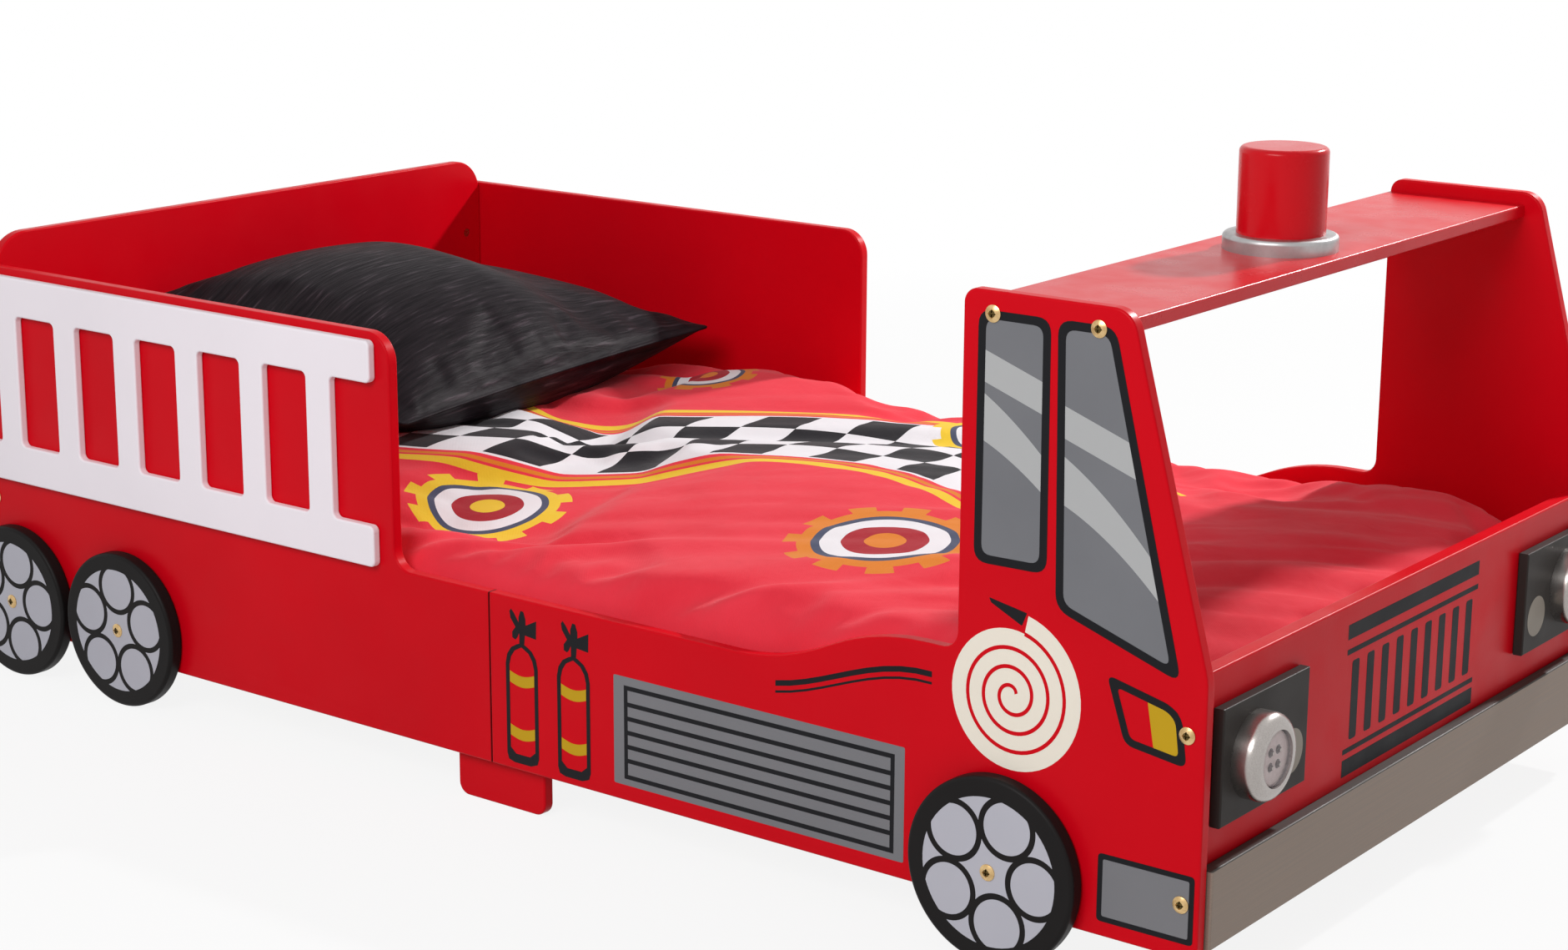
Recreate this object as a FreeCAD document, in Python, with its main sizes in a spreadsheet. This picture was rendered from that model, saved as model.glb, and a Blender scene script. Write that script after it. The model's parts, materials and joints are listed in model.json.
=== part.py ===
import FreeCAD, Part
import math
import os

# Toddler bed shaped like a fire engine: painted boards bolted into a box, with slats and bedding inside.
# +X is the front of the vehicle, +Y its left side, +Z up; the floor is at zero, the origin under the middle.

Vector = FreeCAD.Vector

# Driving sizes in millimetres, apart from counts and the pillow's angles in degrees.
SIZES = {
    # Side boards, each side in two halves that meet at a joint
    "outer_width": 750,
    "board": 12,
    "roundover": 2,
    "floor_gap": 45,
    "rear_length": 748,
    "front_length": 742,
    "corner_round": 6,
    "rail_height": 164,
    "raised_height": 387,
    "raised_setback": 120,
    "raised_round": 28,
    "raised_fillet": 20,
    "cab_height": 506,
    "cab_length": 229,
    "cab_rear_round": 12,
    "cab_rail_rise": 46,
    "cab_fillet": 15,
    "cab_top_setback": 77,
    "cab_front_round": 22,
    "brow_height": 228,
    "brow_round": 60,
    "wave_to_cab": 80,
    "wave_run": 103,
    "wave_round": 210,
    # Boards that close the box
    "headboard_setback": 38,
    "headboard_height": 416,
    "headboard_round": 40,
    "front_board": 15,
    "front_recess": 8,
    "front_height": 230,
    "roof_drop": 12,
    "roof_front_margin": 13,
    "bumper_thick": 12,
    "bumper_height": 67,
    "bumper_lift": 6,
    "bumper_gap": 1,
    # Ladders on the raised sides
    "ladder_thick": 9,
    "ladder_margin": 17,
    "ladder_drop": 7,
    "ladder_lift": 49,
    "ladder_rail": 40,
    "ladder_tail": 53,
    "ladder_round": 6,
    "rung_width": 32,
    "rung_count": 6,
    # Wheel discs
    "wheel_radius": 80,
    "wheel_thick": 16,
    "wheel_edge": 3.5,
    "wheel_gap": 7,
    "front_wheel_setback": 184,
    # Legs behind the side joints and the beam between them
    "leg_width": 108,
    "leg_height": 150,
    "leg_round": 12,
    "beam_thick": 18,
    "beam_height": 60,
    # Slatted base
    "slat_rail_width": 20,
    "slat_rail_height": 24,
    "slat_rail_lift": 4,
    "slat_rail_gap": 2,
    "slat_width": 60,
    "slat_thick": 12,
    "slat_gap": 2,
    "slats_per_half": 5,
    # Head lights: a plate with a press light on it
    "plate_width": 139,
    "plate_height": 97,
    "plate_thick": 10,
    "plate_edge": 1.5,
    "plate_side_gap": 13,
    "plate_lift": 103.5,
    "light_inset": 49,
    "light_radius": 36,
    "light_depth": 22,
    "light_shoulder": 10,
    "light_wall": 2,
    "lens_radius": 23,
    "lens_clearance": 0.5,
    "lens_proud": 1,
    "lens_wall": 2,
    "lens_face": 1.5,
    "flange_width": 2,
    "flange_thick": 1.5,
    "press_slack": 0.3,
    "press_travel": 2.5,
    "circuit_thick": 1.6,
    "circuit_inset": 0.5,
    "led_radius": 2.5,
    "led_height": 3,
    "led_offset": 6,
    "base_thick": 3,
    "base_clearance": 0.3,
    "cell_radius": 5.25,
    "cell_length": 44.5,
    "cell_offset": 16,
    "switch_width": 6,
    "plunger_radius": 1.75,
    "plunger_height": 2,
    # Beacon on the roof
    "beacon_setback": 64,
    "ring_radius": 50,
    "ring_height": 14,
    "ring_round": 4,
    "lamp_radius": 38.5,
    "lamp_height": 75,
    "lamp_round": 5,
    # Bolts with barrel nuts, and wood screws
    "bolt_radius": 3,
    "bolt_head_radius": 7,
    "bolt_head_height": 3,
    "bolt_rim": 1,
    "bolt_clearance": 0.15,
    "bolt_past_nut": 8,
    "wheel_bolt_short": 1,
    "nut_radius": 5,
    "nut_length": 11,
    "nut_depth": 24,
    "cross_width": 1.3,
    "cross_length": 7,
    "cross_depth": 1.6,
    "roof_bolt_rear": 28,
    "roof_bolt_front": 15,
    "front_bolt_low": 45,
    "front_bolt_high": 183,
    "headboard_bolt_drop": 12,
    "screw_radius": 2,
    "screw_head_radius": 4.5,
    "screw_head_depth": 2.8,
    "screw_clearance": 0.1,
    "leg_screw_length": 20,
    "leg_screw_margin": 22,
    "rail_screw_length": 28,
    "rail_screw_margin": 60,
    "rail_screws_per_rail": 3,
    "beacon_screw_length": 54,
    "overrun": 1,
    # Bedding
    "mattress_thick": 100,
    "mattress_side_gap": 1,
    "mattress_end_gap": 8.5,
    "mattress_corner": 40,
    "mattress_edge": 14,
    "duvet_gap": 4,
    "duvet_lift": 0.3,
    "duvet_crown": 72,
    "duvet_right_shoulder": 56,
    "duvet_left_shoulder": 68,
    "duvet_roll": 40,
    "duvet_hem": 14,
    "pillow_length": 398,
    "pillow_width": 490,
    "pillow_draw": 10,
    "pillow_upper": 83,
    "pillow_lower": 76,
    "pillow_seam": 8,
    "pillow_left_drop": 42,
    "pillow_right_tilt_degrees": 11.4,
    "pillow_left_tilt_degrees": 1.9,
    "pillow_gap": 4,
    "pillow_aside": 60,
    "pillow_lift": 0.3,
}

# Shape of the soft pieces, as shares of their own sizes.
DIAGONAL_SHARE = math.sqrt(0.5)
DUVET_STATION_SHARES = (0, 0.05, 0.25, 0.4, 0.6, 0.8, 0.95, 1)
DUVET_FULL_SHARES = (0.5, 0.74, 0.79, 1, 1, 1, 0.88, 0.55)
PILLOW_STATION_SHARES = (0, 0.06, 0.2, 0.5, 0.65, 0.8, 0.94, 1)
PILLOW_UPPER_SHARES = (0.04, 0.44, 0.81, 1, 0.78, 0.58, 0.32, 0.04)
PILLOW_LOWER_SHARES = (0.04, 0.44, 0.81, 1, 0.96, 0.81, 0.44, 0.04)
PILLOW_DRAW_SHARES = (0, 0.23, 0.64, 1, 0.91, 0.64, 0.23, 0)

# How a board's edges are measured across the plane that it is drawn in.
ACROSS_PLANE = {"XY_Plane": "ZLength", "XZ_Plane": "YLength", "YZ_Plane": "XLength"}
FLAT = 1e-6
FULL_TURN_DEGREES = 360
QUARTER_TURN_DEGREES = 90
SIDE_SHARES = {"right": -1, "left": 1}
# Turns that lay a piece's own +Z along another direction.
FORWARD = FreeCAD.Rotation(Vector(0, 1, 0), QUARTER_TURN_DEGREES)
ACROSS = {
    1: FreeCAD.Rotation(Vector(1, 0, 0), -QUARTER_TURN_DEGREES),
    -1: FreeCAD.Rotation(Vector(1, 0, 0), QUARTER_TURN_DEGREES),
}
UPWARD = FreeCAD.Rotation()
# Turn that lays a section drawn in X and Y into the Y and Z of the bed.
UPRIGHT = FreeCAD.Rotation(Vector(1, 1, 1), FULL_TURN_DEGREES / 3)

doc = FreeCAD.newDocument("fire_engine_bed")
sheet = doc.addObject("Spreadsheet::Sheet", "sizes")
for row, (name, value) in enumerate(SIZES.items(), start=1):
    sheet.set(f"A{row}", name)
    sheet.set(f"B{row}", str(value))
    sheet.setAlias(f"B{row}", name)
doc.recompute()

pieces = []


def size(name):
    """A driving size as the sheet holds it."""
    return float(sheet.get(name))


def bind(thing, **sizes):
    """Tie properties of a piece to formulas of the sheet's cells."""
    for prop, formula in sizes.items():
        words = [f"sizes.{word}" if word in SIZES else word for word in formula.split()]
        thing.setExpression(prop, " ".join(words))


def keep(thing, label):
    """Name a finished piece, so that it is checked and written."""
    thing.Label = label
    pieces.append(thing)
    return thing


def rounded(corners):
    """Edges of a closed outline from (x, y, radius) corners, with a tangent arc at each radius above zero."""
    arcs = []
    for place, (x, y, radius) in enumerate(corners):
        here = Vector(x, y, 0)
        back = Vector(*corners[place - 1][:2], 0) - here
        ahead = Vector(*corners[(place + 1) % len(corners)][:2], 0) - here
        back.normalize()
        ahead.normalize()
        half = back.getAngle(ahead) / 2
        reach = radius / math.tan(half)
        inward = back + ahead
        if inward.Length > FLAT:
            inward.normalize()
        crest = here + inward * (radius / math.sin(half) - radius)
        arcs.append((here + back * reach, crest, here + ahead * reach))
    edges = []
    for place, (start, crest, end) in enumerate(arcs):
        if (end - start).Length > FLAT:
            edges.append(Part.Arc(start, crest, end))
        onward = arcs[(place + 1) % len(arcs)][0]
        if (onward - end).Length > FLAT:
            edges.append(Part.LineSegment(end, onward))
    return edges


def rectangle(left, low, right, high, radius=0):
    """Edges of an upright rectangle with alike corners."""
    return rounded([(left, low, radius), (right, low, radius), (right, high, radius), (left, high, radius)])


def sketch_in(body, role, edges):
    """A sketch on one of the body's own origin planes."""
    sketch = body.newObject("Sketcher::SketchObject", body.Name + "_outline")
    plane = [feature for feature in body.Origin.OriginFeatures if feature.Role == role][0]
    sketch.AttachmentSupport = [(plane, "")]
    sketch.MapMode = "FlatFace"
    sketch.addGeometry(edges, False)
    return sketch


def cut_board(name, role, edges, thickness, place, edge_round="roundover"):
    """A flat board: an outline padded to its thickness, with both faces' edges rounded over."""
    body = doc.addObject("PartDesign::Body", name)
    pad = body.newObject("PartDesign::Pad", name + "_pad")
    pad.Profile = sketch_in(body, role, edges)
    bind(pad, Length=thickness)
    doc.recompute()
    flat_edges = []
    for number, edge in enumerate(pad.Shape.Edges, start=1):
        if getattr(edge.BoundBox, ACROSS_PLANE[role]) < FLAT:
            flat_edges.append(f"Edge{number}")
    soft = body.newObject("PartDesign::Fillet", name + "_roundover")
    soft.Base = (pad, flat_edges)
    bind(soft, Radius=edge_round)
    body.Placement.Base = place
    doc.recompute()
    return body


def turned(name, edges):
    """A piece turned about its own +Z from a half profile of radius and height."""
    body = doc.addObject("PartDesign::Body", name)
    turn = body.newObject("PartDesign::Revolution", name + "_turn")
    sketch = sketch_in(body, "XZ_Plane", edges)
    turn.Profile = sketch
    turn.ReferenceAxis = (sketch, ["V_Axis"])
    turn.Angle = FULL_TURN_DEGREES
    doc.recompute()
    return body


def turned_line(points):
    """Straight edges through a half profile's points, closed."""
    return rounded([(radius, height, 0) for radius, height in points])


def box(name, place, length, width, height):
    """A squared timber tied to the sheet, from its lowest corner."""
    solid = doc.addObject("Part::Box", name)
    bind(solid, Length=length, Width=width, Height=height)
    solid.Placement.Base = place
    return solid


def rod(name, place, turn, radius, height):
    """A round bar tied to the sheet, along its own +Z."""
    solid = doc.addObject("Part::Cylinder", name)
    bind(solid, Radius=radius, Height=height)
    solid.Placement = FreeCAD.Placement(place, turn)
    return solid


def copies(name, master, places):
    """The same solid at several places, as one group."""
    links = []
    for place, turn in places:
        link = doc.addObject("App::Link", name + "_copy")
        link.LinkedObject = master
        link.Placement = FreeCAD.Placement(place, turn)
        links.append(link)
    group = doc.addObject("Part::Compound", name)
    group.Links = links
    return group


def gathered(name, parts):
    """Several solids as one group."""
    group = doc.addObject("Part::Compound", name)
    group.Links = parts
    return group


def bored(label, blank, tools):
    """A blank with bores cut into it."""
    cut = doc.addObject("Part::Cut", label)
    cut.Base = blank
    cut.Tool = gathered(label + "_bores", tools)
    return keep(cut, label)


board = size("board")
floor_gap = size("floor_gap")
half_width = size("outer_width") / 2
inner_half = half_width - board
overrun = size("overrun")

# The bed is as long as its side boards and the head lights that stand out in front of them.
light_reach = size("plate_thick") + size("light_depth") + size("lens_proud") - size("front_recess")
overall_length = size("rear_length") + size("front_length") + light_reach
rear_x = -overall_length / 2
joint_x = rear_x + size("rear_length")
front_x = joint_x + size("front_length")

headboard_x = rear_x + size("headboard_setback")
headboard_face = headboard_x + board
front_face = front_x - size("front_recess")
front_back = front_face - size("front_board")
plate_face = front_face + size("plate_thick")
cab_x = front_x - size("cab_length")
cab_top = floor_gap + size("cab_height")
cab_top_front = front_x - size("cab_top_setback")
roof_front = cab_top_front - size("roof_front_margin")
roof_top = cab_top - size("roof_drop")
raised_x = joint_x - size("raised_setback")
raised_top = floor_gap + size("raised_height")
rail_top = floor_gap + size("rail_height")
cab_rail_top = rail_top + size("cab_rail_rise")
ladder_top = raised_top - size("ladder_drop")
ladder_low = 2 * size("wheel_radius") + size("ladder_lift")
slat_low = floor_gap + size("slat_rail_lift") + size("slat_rail_height")
slat_top = slat_low + size("slat_thick")
mattress_top = slat_top + size("mattress_thick")
plate_low = floor_gap + size("plate_lift")
light_z = plate_low + size("plate_height") / 2

axle_z = size("wheel_radius")
rear_axle_x = rear_x + size("wheel_radius")
second_axle_x = rear_axle_x + 2 * size("wheel_radius") + size("wheel_gap")
front_axle_x = front_x - size("front_wheel_setback")
AXLES = {"wheel_rear": rear_axle_x, "wheel_second": second_axle_x, "wheel_front": front_axle_x}

# Each side is bolted to the headboard, the front panel and the roof: places as (x, z).
headboard_bolts = [
    (headboard_x + board / 2, (2 * size("wheel_radius") + ladder_low) / 2),
    (headboard_x + board / 2, ladder_top - size("ladder_rail") - size("headboard_bolt_drop")),
]
front_bolts = [
    (front_back + size("front_board") / 2, floor_gap + size("front_bolt_low")),
    (front_back + size("front_board") / 2, floor_gap + size("front_bolt_high")),
]
roof_bolts = [
    (cab_x + size("roof_bolt_rear"), roof_top - board / 2),
    (roof_front - size("roof_bolt_front"), roof_top - board / 2),
]


# Fasteners, each made once along its own +Z with the underside of its head at zero
def dome(radius, rim, crown):
    """An arc from a rim to the axis, level where it meets the axis."""
    rise = crown - rim
    bend = (radius * radius + rise * rise) / (2 * rise)
    half = math.asin(radius / abs(bend)) / 2
    middle = Vector(abs(bend) * math.sin(half), crown - bend * (1 - math.cos(half)), 0)
    return Part.Arc(Vector(radius, rim, 0), middle, Vector(0, crown, 0))


def pan_bolt(name, length):
    """A bolt with a domed head and a cross recess."""
    radius = size("bolt_radius")
    head = size("bolt_head_radius")
    rim = size("bolt_rim")
    height = size("bolt_head_height")
    profile = [
        dome(head, -rim, -height),
        Part.LineSegment(Vector(0, -height, 0), Vector(0, length, 0)),
        Part.LineSegment(Vector(0, length, 0), Vector(radius, length, 0)),
        Part.LineSegment(Vector(radius, length, 0), Vector(radius, 0, 0)),
        Part.LineSegment(Vector(radius, 0, 0), Vector(head, 0, 0)),
        Part.LineSegment(Vector(head, 0, 0), Vector(head, -rim, 0)),
    ]
    shank = turned(name + "_blank", profile)
    half_long = size("cross_length") / 2
    half_wide = size("cross_width") / 2
    low = -height - overrun
    depth = "cross_depth + overrun"
    bars = [
        box(name + "_slot_a", Vector(-half_long, -half_wide, low), "cross_length", "cross_width", depth),
        box(name + "_slot_b", Vector(-half_wide, -half_long, low), "cross_width", "cross_length", depth),
    ]
    bolt = doc.addObject("Part::Cut", name)
    bolt.Base = shank
    bolt.Tool = gathered(name + "_cross", bars)
    return bolt


def sunk_screw(name, length, clearance=0):
    """A countersunk wood screw, or with a clearance the bore that takes it; its head is flush at zero."""
    radius = size("screw_radius") + clearance
    head = size("screw_head_radius") + clearance
    depth = size("screw_head_depth") + clearance
    past = overrun if clearance else 0
    mouth = [(0, -past), (head, -past)] if clearance else [(0, 0)]
    shank = [(head, 0), (radius, depth), (radius, length + past), (0, length + past)]
    return turned(name, turned_line(mouth + shank))


bolt_reach = board + size("nut_depth") + size("bolt_past_nut")
panel_bolt = pan_bolt("panel_bolt", bolt_reach)
wheel_bolt = pan_bolt("wheel_bolt", size("wheel_thick") + board - size("wheel_bolt_short"))
screw_clearance = size("screw_clearance")
leg_screw = sunk_screw("leg_screw", size("leg_screw_length"))
leg_screw_bore = sunk_screw("leg_screw_bore", size("leg_screw_length"), screw_clearance)
rail_screw = sunk_screw("rail_screw", size("rail_screw_length"))
rail_screw_bore = sunk_screw("rail_screw_bore", size("rail_screw_length"), screw_clearance)
beacon_screw_blank = sunk_screw("beacon_screw_blank", size("beacon_screw_length"))
beacon_screw_bore = sunk_screw("beacon_screw_bore", size("beacon_screw_length"), screw_clearance)


BOLT_BORE = "bolt_radius + bolt_clearance"


def bolt_bore(name, x, side, z):
    """The bore for one panel bolt, from outside the side board to past its tip."""
    place = Vector(x, side * (half_width + overrun), z)
    length = "board + nut_depth + bolt_past_nut + 2 * overrun"
    return rod(name, place, ACROSS[-side], BOLT_BORE, length)


def nut_bore(name, x, side, z, turn, thickness):
    """The cross hole for a barrel nut, drilled in from the hidden face of a board."""
    depth = f"{thickness} / 2 + nut_length / 2 + bolt_clearance"
    start = Vector(x, side * (inner_half - size("nut_depth")), z)
    return rod(name, start, turn, "nut_radius + bolt_clearance", depth)


# Screw places: on each leg beside the joint, and along each slat rail
leg_face = inner_half - board
leg_half = size("leg_width") / 2
rail_face = inner_half - size("slat_rail_width")
slat_rail_low = floor_gap + size("slat_rail_lift")
rail_mid_z = slat_rail_low + size("slat_rail_height") / 2
gap = size("slat_rail_gap")
RAIL_SPANS = {
    "rear": (headboard_face + gap, joint_x - leg_half - gap, "rear_length - headboard_setback - board"),
    "front": (joint_x + leg_half + gap, front_back - gap, "front_length - front_recess - front_board"),
}


def leg_screw_places(side):
    """Two screws on each side of the joint, driven outwards through the leg."""
    margin = size("leg_screw_margin")
    lows = (floor_gap + margin, size("leg_height") - margin)
    spots = [(joint_x + hand * (leg_half - margin), low) for hand in (-1, 1) for low in lows]
    return [(Vector(x, side * leg_face, z), ACROSS[side]) for x, z in spots]


def rail_screw_places(half, side):
    """Screws spread evenly along a slat rail, driven outwards."""
    start, end, _ = RAIL_SPANS[half]
    margin = size("rail_screw_margin")
    count = int(size("rail_screws_per_rail"))
    step = (end - start - 2 * margin) / (count - 1)
    spots = [start + margin + k * step for k in range(count)]
    return [(Vector(x, side * rail_face, rail_mid_z), ACROSS[side]) for x in spots]


# Side boards
def rear_outline():
    """Raised side at the head end, dropping to the low rail before the joint."""
    corner = size("corner_round")
    return rounded([
        (joint_x, floor_gap, 0),
        (joint_x, rail_top, 0),
        (raised_x, rail_top, size("raised_fillet")),
        (raised_x, raised_top, size("raised_round")),
        (rear_x, raised_top, size("raised_round")),
        (rear_x, floor_gap, corner),
    ])


def front_outline():
    """Low rail that rises in a wave to the cab, whose front edge leans back to the roof."""
    corner = size("corner_round")
    wave_high = cab_x - size("wave_to_cab")
    wave_low = wave_high - size("wave_run")
    return rounded([
        (joint_x, floor_gap, 0),
        (front_x, floor_gap, corner),
        (front_x, floor_gap + size("brow_height"), size("brow_round")),
        (cab_top_front, cab_top, size("cab_front_round")),
        (cab_x, cab_top, size("cab_rear_round")),
        (cab_x, cab_rail_top, size("cab_fillet")),
        (wave_high, cab_rail_top, size("wave_round")),
        (wave_low, rail_top, size("wave_round")),
        (joint_x, rail_top, 0),
    ])


def side_bores(name, side, bolts, axles, half):
    """Bores through one half of a side for its bolts, wheel bolts, leg screws and rail screws."""
    tools = [bolt_bore(f"{name}_bolt", x, side, z) for x, z in bolts]
    for x in axles:
        start = Vector(x, side * (half_width + overrun), axle_z)
        tools.append(rod(f"{name}_axle", start, ACROSS[-side], BOLT_BORE, "board + 2 * overrun"))
    screws = [place for place in leg_screw_places(side) if (place[0].x < joint_x) == (half == "rear")]
    tools.append(copies(f"{name}_leg_bores", leg_screw_bore, screws))
    tools.append(copies(f"{name}_rail_bores", rail_screw_bore, rail_screw_places(half, side)))
    return tools


for hand, side in SIDE_SHARES.items():
    # The outline's pad runs towards -Y, so it starts from the face that lies further towards +Y.
    start = Vector(0, -inner_half if side < 0 else half_width, 0)
    name = f"side_panel_rear_{hand}"
    blank = cut_board(name + "_blank", "XZ_Plane", rear_outline(), "board", start)
    bored(name, blank, side_bores(name, side, headboard_bolts, (rear_axle_x, second_axle_x), "rear"))
    name = f"side_panel_front_{hand}"
    blank = cut_board(name + "_blank", "XZ_Plane", front_outline(), "board", start)
    bored(name, blank, side_bores(name, side, front_bolts + roof_bolts, (front_axle_x,), "front"))


# Headboard, front panel and roof, held by bolts in their ends and barrel nuts across them
def end_bores(name, bolts, turn, hidden, thickness):
    """Bolt bores in both ends of a board and the nuts' cross holes from its hidden face."""
    tools = []
    for side in SIDE_SHARES.values():
        for x, z in bolts:
            tools.append(bolt_bore(f"{name}_bolt", x, side, z))
            face_x, face_z = hidden(x, z)
            tools.append(nut_bore(f"{name}_nut", face_x, side, face_z, turn, thickness))
    return tools


headboard_outline = rounded([
    (-inner_half, floor_gap, 0),
    (inner_half, floor_gap, 0),
    (inner_half, floor_gap + size("headboard_height"), size("headboard_round")),
    (-inner_half, floor_gap + size("headboard_height"), size("headboard_round")),
])
BACKWARD = FreeCAD.Rotation(Vector(0, 1, 0), -QUARTER_TURN_DEGREES)
blank = cut_board("headboard_blank", "YZ_Plane", headboard_outline, "board", Vector(headboard_x, 0, 0))
tools = end_bores("headboard", headboard_bolts, BACKWARD, lambda x, z: (headboard_face, z), "board")
bored("headboard", blank, tools)

front_edges = rectangle(-inner_half, floor_gap, inner_half, floor_gap + size("front_height"))
blank = cut_board("front_panel_blank", "YZ_Plane", front_edges, "front_board", Vector(front_back, 0, 0))
tools = end_bores("front_panel", front_bolts, FORWARD, lambda x, z: (front_back, z), "front_board")
bored("front_panel", blank, tools)

roof_edges = rectangle(cab_x, -inner_half, roof_front, inner_half)
blank = cut_board("cab_roof_blank", "XY_Plane", roof_edges, "board", Vector(0, 0, roof_top - board))
beacon_x = roof_front - size("beacon_setback")
beacon_bore = copies("beacon_bore", beacon_screw_bore, [(Vector(beacon_x, 0, roof_top - board), UPWARD)])
tools = end_bores("cab_roof", roof_bolts, UPWARD, lambda x, z: (x, roof_top - board), "board")
bored("cab_roof", blank, tools + [beacon_bore])

bumper_half = inner_half - size("bumper_gap")
bumper_low = floor_gap + size("bumper_lift")
bumper_edges = rectangle(-bumper_half, bumper_low, bumper_half, bumper_low + size("bumper_height"))
bumper = cut_board("bumper_board", "YZ_Plane", bumper_edges, "bumper_thick", Vector(front_face, 0, 0))
keep(bumper, "bumper_board")


# Ladders: two rails with rungs between them, the rails running on past the end rungs
def ladder_outline():
    """The outer edge of a ladder and its closed slots."""
    round_off = size("ladder_round")
    rear = rear_x + size("ladder_margin")
    front = raised_x - size("ladder_margin")
    tail = size("ladder_tail")
    low_rail = ladder_low + size("ladder_rail")
    top_rail = ladder_top - size("ladder_rail")
    edges = rounded([
        (rear, ladder_low, round_off),
        (front, ladder_low, round_off),
        (front, low_rail, round_off),
        (front - tail, low_rail, round_off),
        (front - tail, top_rail, round_off),
        (front, top_rail, round_off),
        (front, ladder_top, round_off),
        (rear, ladder_top, round_off),
        (rear, top_rail, round_off),
        (rear + tail, top_rail, round_off),
        (rear + tail, low_rail, round_off),
        (rear, low_rail, round_off),
    ])
    count = int(size("rung_count"))
    rung = size("rung_width")
    slot = (front - rear - 2 * tail - count * rung) / (count - 1)
    for k in range(count - 1):
        left = rear + tail + rung + k * (slot + rung)
        edges += rectangle(left, low_rail, left + slot, top_rail, round_off)
    return edges


for hand, side in SIDE_SHARES.items():
    start = Vector(0, -half_width if side < 0 else half_width + size("ladder_thick"), 0)
    keep(cut_board(f"ladder_{hand}", "XZ_Plane", ladder_outline(), "ladder_thick", start), f"ladder_{hand}")

# Wheel discs, each held flat against its side by one bolt
wheel_bolt_places = []
for hand, side in SIDE_SHARES.items():
    for axle, x in AXLES.items():
        name = f"{axle}_{hand}"
        start = Vector(x, -half_width if side < 0 else half_width + size("wheel_thick"), axle_z)
        rim = [Part.Circle(Vector(0, 0, 0), Vector(0, 0, 1), size("wheel_radius"))]
        blank = cut_board(name + "_blank", "XZ_Plane", rim, "wheel_thick", start, "wheel_edge")
        outside = Vector(x, side * (half_width + size("wheel_thick") + overrun), axle_z)
        bore = rod(name + "_bore", outside, ACROSS[-side], BOLT_BORE, "wheel_thick + 2 * overrun")
        bored(name, blank, [bore])
        wheel_face = Vector(x, side * (half_width + size("wheel_thick")), axle_z)
        wheel_bolt_places.append((wheel_face, ACROSS[-side]))
keep(copies("wheel_bolts", wheel_bolt, wheel_bolt_places), "wheel_bolts")

# Legs behind the joints, tying the two halves of each side together, and the beam between the legs
leg_corner = size("leg_round")
leg_edges = rounded([
    (joint_x - leg_half, 0, leg_corner),
    (joint_x + leg_half, 0, leg_corner),
    (joint_x + leg_half, size("leg_height"), 0),
    (joint_x - leg_half, size("leg_height"), 0),
])
leg_places = []
for hand, side in SIDE_SHARES.items():
    start = Vector(0, -leg_face if side < 0 else inner_half, 0)
    places = leg_screw_places(side)
    blank = cut_board(f"mid_leg_{hand}_blank", "XZ_Plane", leg_edges, "board", start)
    bored(f"mid_leg_{hand}", blank, [copies(f"mid_leg_{hand}_screw_bores", leg_screw_bore, places)])
    leg_places += places
keep(copies("leg_screws", leg_screw, leg_places), "leg_screws")

beam_low = Vector(joint_x - size("beam_thick") / 2, -leg_face, slat_top - size("beam_height"))
keep(box("mid_beam", beam_low, "beam_thick", "outer_width - 4 * board", "beam_height"), "mid_beam")

# Slat rails along the sides, and the slats that lie across them
rail_places = []
number = 0
for half, (start, end, room) in RAIL_SPANS.items():
    rail_length = f"{room} - leg_width / 2 - 2 * slat_rail_gap"
    for hand, side in SIDE_SHARES.items():
        name = f"slat_rail_{half}_{hand}"
        corner = Vector(start, -inner_half if side < 0 else rail_face, slat_rail_low)
        blank = box(name + "_blank", corner, rail_length, "slat_rail_width", "slat_rail_height")
        places = rail_screw_places(half, side)
        bored(name, blank, [copies(name + "_screw_bores", rail_screw_bore, places)])
        rail_places += places
    count = int(size("slats_per_half"))
    for k in range(count):
        number += 1
        middle = start + (2 * k + 1) * (end - start) / (2 * count)
        corner = Vector(middle - size("slat_width") / 2, -inner_half + size("slat_gap"), slat_low)
        name = f"slat_{number}"
        keep(box(name, corner, "slat_width", "outer_width - 2 * board - 2 * slat_gap", "slat_thick"), name)
keep(copies("rail_screws", rail_screw, rail_places), "rail_screws")

# Head lights: the press light's own +Z points forward, with zero on its plate
light_radius = size("light_radius")
light_depth = size("light_depth")
shoulder = size("light_shoulder")
light_wall = size("light_wall")
hole_radius = size("lens_radius") + size("lens_clearance")
lip = light_depth - light_wall
flange_top = lip - size("press_slack")
flange_low = flange_top - size("flange_thick")
lens_front = light_depth + size("lens_proud")
lens_inner = size("lens_radius") - size("lens_wall")
flange_radius = size("lens_radius") + size("flange_width")
circuit_low = flange_low - size("circuit_thick")
switch_top = circuit_low - size("press_travel") - size("press_slack")


def on_light(light_y, depth, across=0, up=0):
    """A place on a light, by depth from its plate and offsets from its axis."""
    return Vector(plate_face + depth, light_y + across, light_z + up)


def shoulder_arc(radius, low, turn):
    """A quarter round from a light's side wall over to its front face."""
    middle = Vector(radius - turn + turn / math.sqrt(2), low + turn / math.sqrt(2), 0)
    return Part.Arc(Vector(radius, low, 0), middle, Vector(radius - turn, low + turn, 0))


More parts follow.
